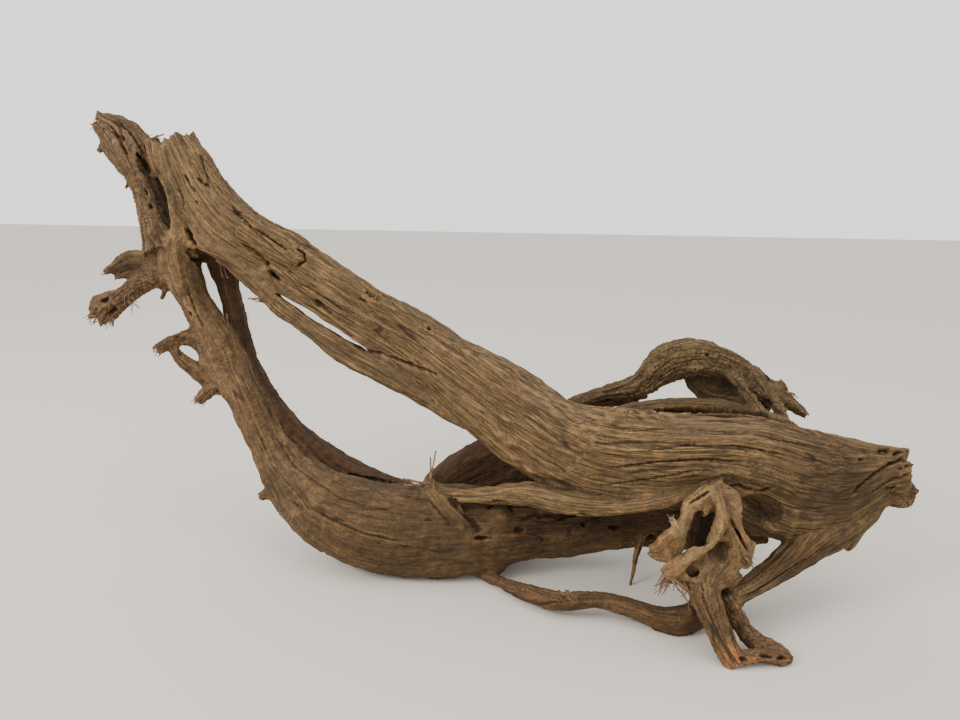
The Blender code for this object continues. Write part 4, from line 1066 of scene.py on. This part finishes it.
def add_marks(points, faces, surface):
    """Carve and tint the pits, knots, cracks and cords, with painted shade inside pits and cracks, and paint
    the stains and the patches of painted shade.
    """
    tree = BVHTree.FromPolygons(points.tolist(), faces.tolist())
    height, groove, colour = surface["height"], surface["groove"], surface["colour"]

    for rows, out, (depth,) in oval_marks(PITS, tree, points, surface):
        inside = 1 - soft_step(out + uneven(points[rows], PIT_EDGE), *PIT_FADE)
        height[rows] -= depth / 1000 * inside
        # painted shade inside the pit
        groove[rows] = np.maximum(groove[rows], np.minimum(1.0, PIT_DARK * inside))

    for rows, out, (rise,) in oval_marks(KNOTS, tree, points, surface):
        inside = np.exp(-(out / KNOT_WIDTH) ** 2)
        ripple = np.cos(2 * math.pi * KNOT_RINGS * out)
        height[rows] *= 1 - KNOT_CALM * inside
        height[rows] += inside * (rise / 1000 + KNOT_RIPPLE * ripple)
        groove[rows] = np.maximum(groove[rows] * (1 - inside), KNOT_DARK * inside * np.clip(-ripple, 0, 1))

    for rows, out, taper, depth in path_marks(CRACKS, tree, points, CRACK_REACH, CRACK_ENDS):
        inside = (1 - soft_step(out + uneven(points[rows], CRACK_EDGE), *CRACK_FADE)) * taper
        height[rows] -= depth / 1000 * inside
        # painted shade inside the crack
        groove[rows] = np.maximum(groove[rows], inside * min(1.0, depth / DARK_CRACK))

    for rows, out, taper, rise in path_marks(CORDS, tree, points, CORD_REACH, CORD_ENDS):
        height[rows] += rise / 1000 * np.exp(-(out / CORD_WIDTH) ** 2) * taper

    # Stains, and patches of painted shade in recesses and on the darker right end
    for rows, out, (tint, strength) in oval_marks(STAINS_AND_PAINTED_SHADE, tree, points, surface):
        inside = strength * (1 - soft_step(out + uneven(points[rows], TINT_EDGE), *TINT_FADE))
        colour[rows] += inside[:, None] * (np.array(tint) - colour[rows])


# Carving


def read_array(collection, field, count, kind):
    """One field of all items of a mesh collection, as an array of rows."""
    values = np.empty(len(collection) * count, dtype=kind)
    collection.foreach_get(field, values)
    return values.reshape(-1, count)


def mesh_points(mesh):
    return read_array(mesh.vertices, "co", 3, np.float32).astype(float)


def mesh_normals(mesh):
    return read_array(mesh.vertex_normals, "vector", 3, np.float32).astype(float)


def move_points(mesh, points):
    mesh.vertices.foreach_set("co", points.ravel())
    mesh.update()


def edge_ends(mesh):
    """The two ends of every edge, each edge both ways round, and how many edges meet in each point."""
    edges = read_array(mesh.edges, "vertices", 2, np.int32)
    here = np.concatenate([edges[:, 0], edges[:, 1]])
    there = np.concatenate([edges[:, 1], edges[:, 0]])
    return here, there, np.bincount(here, minlength=len(mesh.vertices))


def ring_mean(values, ends):
    """The mean of each point's neighbours, for one value a point or for rows."""
    here, there, count = ends
    if values.ndim == 1:
        return np.bincount(here, weights=values[there], minlength=len(values)) / count
    return np.stack([ring_mean(column, ends) for column in values.T], axis=1)


def sunken(points, facing, ends):
    """How far each point lies below its surroundings at a few sizes, about -1 to 1."""
    around = points
    total = np.zeros(len(points))
    for rounds, scale, share in SUNKEN_SIZES:
        for _ in range(rounds):
            around = ring_mean(around, ends)
        total += share * np.tanh(((around - points) * facing).sum(axis=1) / scale)
    return total


def away_from_bounds(number, ends):
    """0 where the grain changes over from one limb to the next, 1 elsewhere."""
    here, there, _ = ends
    on_bound = np.bincount(here[number[here] != number[there]], minlength=len(number)) > 0
    beside = np.bincount(here[on_bound[there]], minlength=len(number)) > 0
    share = np.where(on_bound | beside, 0.0, 1.0)
    for _ in range(BOUND_ROUNDS):
        share = np.where(on_bound | beside, 0.0, ring_mean(share, ends))
    return share


def set_attribute(mesh, name, kind, values):
    layer = mesh.attributes.new(name, kind, "POINT")
    field = {"FLOAT": "value", "FLOAT_VECTOR": "vector", "FLOAT_COLOR": "color"}[kind]
    layer.data.foreach_set(field, np.ascontiguousarray(values, dtype=np.float32).ravel())


def carve_wood(mesh):
    """Round the joints of the fused wood, carve its marks and relief, and return what its material reads."""
    points = mesh_points(mesh)
    ends = edge_ends(mesh)
    surface = wood_surface(points)
    surface["lined"] *= away_from_bounds(surface["number"], ends)
    for _ in range(JOINT_ROUNDS):
        points += JOINT_STRENGTH * surface["joint"][:, None] * (ring_mean(points, ends) - points)
    move_points(mesh, points)
    points = mesh_points(mesh)
    corners = read_array(mesh.loops, "vertex_index", 1, np.int32)
    add_marks(points, corners.reshape(-1, 4), surface)
    points += RELIEF * mesh_normals(mesh) * surface["height"][:, None]
    points[points[:, 2] < FLOOR_BITE, 2] = 0.0
    move_points(mesh, points)
    surface["sunken"] = sunken(mesh_points(mesh), mesh_normals(mesh), ends)
    return surface


def thin_wood(root, surface):
    """Bring the wood down to TRIANGLES, and store what its material reads at each point that is left."""
    finder = point_finder(mesh_points(root.data))
    add_modifier(root, "thin", "DECIMATE", use_collapse_triangulate=True,
                 ratio=min(1.0, TRIANGLES / (2 * len(root.data.polygons))))
    apply_modifiers(root)
    source = np.array([finder.find(point)[1] for point in mesh_points(root.data)])
    set_attribute(root.data, "grain", "FLOAT_VECTOR", surface["grain"][source])
    for name in ("groove", "sunken", "lined"):
        set_attribute(root.data, name, "FLOAT", surface[name][source])
    rgba = np.concatenate([surface["colour"][source], np.ones((len(source), 1))], axis=1)
    set_attribute(root.data, "tint", "FLOAT_COLOR", rgba)
    root.data.shade_smooth()


def cut_away(shape, place, way):
    """Cut off what lies past a place along x, and close the cut with a flat face."""
    geometry = shape.verts[:] + shape.edges[:] + shape.faces[:]
    cut = bmesh.ops.bisect_plane(shape, geom=geometry, plane_co=(place, 0, 0), plane_no=(way, 0, 0),
                                 clear_outer=True)
    rim = [item for item in cut["geom_cut"] if isinstance(item, bmesh.types.BMEdge)]
    if not rim:
        return
    filled = bmesh.ops.triangle_fill(shape, edges=rim, use_beauty=True)
    for face in [item for item in filled["geom"] if isinstance(item, bmesh.types.BMFace)]:
        face.smooth = False
        face.normal_update()
        if face.normal.x * way < 0:
            face.normal_flip()
    for edge in rim:
        edge.smooth = False


def cut_in_lengths(root):
    """Part the wood in LENGTHS across its length, so that no piece has too many triangles."""
    middles = read_array(root.data.polygons, "center", 3, np.float32)
    places = np.quantile(middles[:, 0], np.arange(1, len(LENGTHS)) / len(LENGTHS)).tolist()
    pieces = []
    for name, low, high in zip(LENGTHS, [-FAR] + places, places + [FAR]):
        shape = bmesh.new()
        shape.from_mesh(root.data)
        cut_away(shape, low, -1.0)
        cut_away(shape, high, 1.0)
        mesh = bpy.data.meshes.new(name)
        shape.to_mesh(mesh)
        shape.free()
        mesh.materials.append(root.data.materials[0])
        pieces.append(add_object(name, mesh))
    bpy.data.objects.remove(root, do_unlink=True)
    return pieces


# Materials


def new_material(name):
    material = bpy.data.materials.new(name)
    material.use_nodes = True
    return material, material.node_tree, material.node_tree.nodes["Principled BSDF"].inputs


def add_node(tree, kind, inputs=None, **settings):
    """A node with its settings, its inputs linked to an output or set to a value; gives its outputs."""
    node = tree.nodes.new(kind)
    for key, value in settings.items():
        setattr(node, key, value)
    for name, value in (inputs or {}).items():
        if isinstance(value, bpy.types.NodeSocket):
            tree.links.new(value, node.inputs[name])
        else:
            node.inputs[name].default_value = value
    return node.outputs


def attribute(tree, name, output="Fac"):
    return add_node(tree, "ShaderNodeAttribute", attribute_name=name)[output]


def stretched_noise(tree, vector, sizes, detail=3.0, roughness=0.55):
    """Noise on a vector that is divided by three sizes in metres."""
    scale = [1.0 / size for size in sizes]
    stretched = add_node(tree, "ShaderNodeMapping", {"Vector": vector, "Scale": scale})["Vector"]
    return add_node(tree, "ShaderNodeTexNoise", {"Vector": stretched, "Scale": 1.0, "Detail": detail,
                                                 "Roughness": roughness})["Fac"]


def remap(tree, value, low, high, to_low, to_high):
    limits = {"Value": value, "From Min": low, "From Max": high, "To Min": to_low, "To Max": to_high}
    return add_node(tree, "ShaderNodeMapRange", limits, interpolation_type="SMOOTHSTEP")["Result"]


def combine(tree, operation, first, second=0.0):
    return add_node(tree, "ShaderNodeMath", {0: first, 1: second}, operation=operation)["Value"]


def between(tree, share, first, second):
    """From the first value to the second as the share goes from 0 to 1."""
    return add_node(tree, "ShaderNodeMix", {0: share, 2: first, 3: second}, data_type="FLOAT")[0]


def mix_colour(tree, share, first, second, blend="MIX"):
    first, second = (value + (1.0,) if isinstance(value, tuple) else value for value in (first, second))
    return add_node(tree, "ShaderNodeMix", {0: share, 6: first, 7: second}, data_type="RGBA",
                    blend_type=blend, clamp_result=False)[2]


def scaled_colour(tree, colour, factor):
    """A colour made lighter or darker by a factor that varies over the surface."""
    grey = add_node(tree, "ShaderNodeCombineColor", {"Red": factor, "Green": factor, "Blue": factor})["Color"]
    return mix_colour(tree, 1.0, colour, grey, "MULTIPLY")


def wood_tone(tree, pattern, lined):
    """How light the wood is: lines along the grain or bark's mottle, and bands, specks and patches."""
    tone = {name: remap(tree, pattern[name], *limits) for name, limits in TONES.items()}
    lines = combine(tree, "MULTIPLY", tone["streak"], tone["hair"])
    total = between(tree, lined, tone["bark"], lines)
    for name in ("band", "speck", "mottle", "patch"):
        total = combine(tree, "MULTIPLY", total, tone[name])
    return total


def wood_bump(tree, pattern, lined, open_line):
    """The finest relief, which the mesh doesn't hold."""
    part = {name: combine(tree, "MULTIPLY", source, BUMP_SHARES[name])
            for name, source in {**pattern, "open line": open_line}.items() if name in BUMP_SHARES}
    relief = between(tree, lined, part["bark"], combine(tree, "ADD", part["streak"], part["hair"]))
    relief = combine(tree, "ADD", relief, part["speck"])
    relief = combine(tree, "SUBTRACT", relief, part["open line"])
    return add_node(tree, "ShaderNodeBump", {"Strength": 1.0, "Distance": BUMP_DEPTH,
                                             "Height": relief})["Normal"]


def weathered_wood():
    """Dry grained wood: streaks along the grain, dark grain lines, painted shade in grooves, cracks and
    hollows, and a painted highlight on raised edges.
    """
    material, tree, shader = new_material("weathered_wood")
    laid_on = {"grain": attribute(tree, "grain", "Vector"),
               "place": add_node(tree, "ShaderNodeTexCoord")["Object"]}
    pattern = {name: stretched_noise(tree, laid_on[base], *values)
               for name, (base, *values) in PATTERNS.items()}
    low, lined = attribute(tree, "sunken"), attribute(tree, "lined")

    tint = mix_colour(tree, 1.0, attribute(tree, "tint", "Color"), WOOD_CAST, "MULTIPLY")
    warm = mix_colour(tree, remap(tree, pattern["mottle"], *WARM_SHARE), tint, WARM_CAST, "MULTIPLY")
    clean = scaled_colour(tree, warm, wood_tone(tree, pattern, lined))

    from_middle = combine(tree, "ABSOLUTE", combine(tree, "SUBTRACT", pattern["hairline"], 0.5))
    open_line = combine(tree, "MULTIPLY", remap(tree, from_middle, *OPEN_LINE_SHARE), lined)
    # Dark open grain lines, and painted shade in grooves, cracks, pits and hollows
    lines_and_shade_share = combine(tree, "MAXIMUM", open_line, remap(tree, attribute(tree, "groove"), *GROOVE_DARK_AND_SHADE))
    # painted shade in hollows
    lines_and_shade_share = combine(tree, "MAXIMUM", lines_and_shade_share, remap(tree, low, *HOLLOW_PAINTED_SHADE))
    lines_and_shaded = mix_colour(tree, lines_and_shade_share, clean, DARK_LINES_AND_SHADE)
    # painted highlight on raised points
    pale = mix_colour(tree, 1.0, lines_and_shaded, RAISED_HIGHLIGHT_CAST, "MULTIPLY")
    highlighted = mix_colour(tree, remap(tree, low, *RAISED_HIGHLIGHT_SHARE), lines_and_shaded, pale)

    tree.links.new(highlighted, shader["Base Color"])
    tree.links.new(remap(tree, pattern["streak"], *WOOD_ROUGHNESS), shader["Roughness"])
    tree.links.new(wood_bump(tree, pattern, lined, open_line), shader["Normal"])
    shader["Specular IOR Level"].default_value = WOOD_GLOSS
    return material


def fibre_material(name, dark, pale):
    """Loose fibres: two tones of wood, mixed by place."""
    material, tree, shader = new_material(name)
    place = add_node(tree, "ShaderNodeTexCoord")["Object"]
    tone = remap(tree, stretched_noise(tree, place, FIBRE_MOTTLE), *FIBRE_TONE)
    colour = mix_colour(tree, 1.0, mix_colour(tree, tone, dark, pale), WOOD_CAST, "MULTIPLY")
    tree.links.new(colour, shader["Base Color"])
    shader["Roughness"].default_value = FIBRE_ROUGHNESS
    return material


def plain_material(name, colour, roughness):
    material, _, shader = new_material(name)
    shader["Base Color"].default_value = colour + (1.0,)
    shader["Roughness"].default_value = roughness
    return material


# Loose fibres


def fibre_tree(material):
    """Geometry nodes that grow a bent, tapering fibre from every point of a cloud."""
    tree = bpy.data.node_groups.new("loose_fibres", "GeometryNodeTree")
    tree.interface.new_socket("Geometry", in_out="INPUT", socket_type="NodeSocketGeometry")
    for name in ("Thickness", "Bend", "Droop"):
        tree.interface.new_socket(name, in_out="INPUT", socket_type="NodeSocketFloat")
    tree.interface.new_socket("Geometry", in_out="OUTPUT", socket_type="NodeSocketGeometry")
    given = add_node(tree, "NodeGroupInput")

    def add(kind, inputs=None, **settings):
        return add_node(tree, kind, inputs, **settings)[0]

    def stored(name, kind):
        return add("GeometryNodeInputNamedAttribute", {"Name": name}, data_type=kind)

    def scaled(vector, factor):
        return add("ShaderNodeVectorMath", {0: vector, "Scale": factor}, operation="SCALE")

    line = add("GeometryNodeCurvePrimitiveLine", {"End": (0.0, 0.0, 1.0)})
    stepped = add("GeometryNodeResampleCurve", {"Curve": line, "Count": FIBRE_STEPS})
    turn = add("FunctionNodeAlignRotationToVector", {"Vector": stored("heading", "FLOAT_VECTOR")}, axis="Z")
    grown = add("GeometryNodeInstanceOnPoints", {"Points": given["Geometry"], "Instance": stepped,
                                                 "Rotation": turn, "Scale": stored("reach", "FLOAT")})
    loose = add("GeometryNodeRealizeInstances", {"Geometry": grown})

    share = add("GeometryNodeSplineParameter")
    place = add("GeometryNodeInputPosition")
    wander = add_node(tree, "ShaderNodeTexNoise", {"Vector": place, "W": stored("lean", "FLOAT"),
                                                   "Scale": FIBRE_WAVES, "Detail": 1.0},
                      noise_dimensions="4D")["Color"]
    centred = add("ShaderNodeVectorMath", {0: wander, 1: (0.5, 0.5, 0.5)}, operation="SUBTRACT")
    bent = scaled(scaled(centred, given["Bend"]), share)
    drop = combine(tree, "MULTIPLY", combine(tree, "MULTIPLY", share, share), given["Droop"])
    fall = add("ShaderNodeCombineXYZ", {"Z": combine(tree, "MULTIPLY", drop, -1.0)})
    offset = add("ShaderNodeVectorMath", {0: bent, 1: fall}, operation="ADD")
    moved = add("GeometryNodeSetPosition", {"Geometry": loose, "Offset": offset})
    radius = remap(tree, share, 0.0, 1.0, 1.0, FIBRE_TIP)
    tapered = add("GeometryNodeSetCurveRadius", {"Curve": moved, "Radius": radius})
    section = add("GeometryNodeCurvePrimitiveCircle", {"Resolution": FIBRE_SIDES,
                                                       "Radius": given["Thickness"]})
    skin = add("GeometryNodeCurveToMesh", {"Curve": tapered, "Profile Curve": section, "Fill Caps": True})
    whole = add("GeometryNodeRealizeInstances", {"Geometry": skin})
    painted = add("GeometryNodeSetMaterial", {"Geometry": whole, "Material": material})
    add_node(tree, "NodeGroupOutput", {"Geometry": painted})
    return tree


def fibre_root(place, heading, length, lengths, rng):
    """Place, unit heading, length and lean of one fibre."""
    return place, heading / np.linalg.norm(heading), length * rng.uniform(*lengths), rng.uniform(0, TURNS)


def fray_roots(tree, table, looseness, rng):
    """Where the fibres of the frayed ends or the splinters start."""
    for u, v, spread_u, spread_v, across, down, count, length in table:
        heading = across * RIGHT - down * UP
        for _ in range(count):
            place, facing = spot(tree, u + spread_u * rng.normal() * FRAY_SPREAD,
                                 v + spread_v * rng.normal() * FRAY_SPREAD)
            if place is None:
                continue
            own = heading + looseness * rng.normal(size=3) + FRAY_LIFT * facing
            yield fibre_root(place, own, length / 1000, FRAY_LENGTHS, rng)


def edge_roots(tree, rng):
    """Where the hairs along the edges of the limbs start."""
    for path, side, count, length in HAIR_EDGES:
        steps = list(zip(path, path[1:]))
        for _ in range(count):
            (u, v), (next_u, next_v) = steps[rng.integers(len(steps))]
            share, inward = rng.uniform(), rng.uniform(0, HAIR_INSET)
            run = math.hypot(next_u - u, next_v - v)
            along_u, along_v = (next_u - u) / run, (next_v - v) / run
            out_u, out_v = side * along_v, -side * along_u
            place, facing = spot(tree, u + share * run * along_u - inward * out_u,
                                 v + share * run * along_v - inward * out_v)
            if place is None:
                continue
            drift = HAIR_DRIFT * rng.normal()
            heading = (out_u + drift * along_u) * RIGHT - (out_v + drift * along_v) * UP
            own = heading + HAIR_LOOSENESS * rng.normal(size=3) + HAIR_LIFT * facing
            yield fibre_root(place, own, length / 1000, HAIR_LENGTHS, rng)


def finish_piece(piece):
    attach(piece, "root")
    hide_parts("mangrove_root")


def add_fibres(name, roots):
    """A piece of loose fibres, one for each root, grown by geometry nodes."""
    material_name, dark, pale, thickness, bend, droop = FIBRE_KINDS[name]
    places, headings, reaches, leans = (np.array(column) for column in zip(*roots))
    fibres = mesh_object(name, (places - FIBRE_SINK * headings).tolist(), [])
    set_attribute(fibres.data, "heading", "FLOAT_VECTOR", headings)
    set_attribute(fibres.data, "reach", "FLOAT", reaches + FIBRE_SINK)
    set_attribute(fibres.data, "lean", "FLOAT", leans)
    growing = fibre_tree(fibre_material(material_name, dark, pale))
    grow = add_modifier(fibres, "grow", "NODES", node_group=growing)
    values = {"Thickness": thickness, "Bend": bend, "Droop": droop}
    for socket in grow.node_group.interface.items_tree:
        if socket.in_out == "INPUT" and socket.name in values:
            grow[socket.identifier] = values[socket.name]
    apply_modifiers(fibres)
    finish_piece(fibres)


# Floor, light and camera


def lay_floor():
    corners = [(x * FLOOR_HALF, y * FLOOR_HALF, 0) for x, y in ((-1, -1), (1, -1), (1, 1), (-1, 1))]
    floor = mesh_object("floor", corners, [(0, 1, 2, 3)])
    floor.data.materials.append(plain_material("pale_floor", FLOOR_COLOUR, FLOOR_ROUGHNESS))


def light_scene():
    for name, place, target, size, power, colour in LIGHTS:
        data = bpy.data.lights.new(name, "AREA")
        data.shape = "DISK"
        data.size = size
        data.energy = power
        data.color = colour
        light = add_object(name, data)
        light.location = place
        light.rotation_euler = (Vector(target) - Vector(place)).to_track_quat("-Z", "Y").to_euler()
    world = bpy.data.worlds.new("pale_room")
    world.use_nodes = True
    background = world.node_tree.nodes["Background"].inputs
    background["Color"].default_value = WORLD_COLOUR + (1.0,)
    background["Strength"].default_value = WORLD_STRENGTH
    bpy.context.scene.world = world


def place_camera():
    data = bpy.data.cameras.new("camera")
    data.sensor_width = SENSOR_WIDTH
    data.lens = SENSOR_WIDTH * PICTURE_FOCAL / PICTURE_SIZE[0]
    data.dof.use_dof = False
    camera = add_object("camera", data)
    turn = Matrix((RIGHT, UP, -FORWARD)).transposed().to_4x4()
    camera.matrix_world = Matrix.Translation(Vector(EYE)) @ turn
    bpy.context.scene.camera = camera


def build():
    root = fused_wood()
    thin_wood(root, carve_wood(root.data))
    root.data.materials.clear()
    root.data.materials.append(weathered_wood())
    faces = [tuple(face.vertices) for face in root.data.polygons]
    tree = BVHTree.FromPolygons(mesh_points(root.data).tolist(), faces)
    for piece in cut_in_lengths(root):
        finish_piece(piece)

    rng = np.random.default_rng(FIBRE_SEED)
    add_fibres("frayed_ends", fray_roots(tree, FRAYS, FRAY_LOOSENESS, rng))
    add_fibres("splinters", fray_roots(tree, SPLINTERS, SPLINTER_LOOSENESS, rng))
    add_fibres("edge_hairs", edge_roots(tree, rng))
    lay_floor()
    light_scene()
    place_camera()


build()
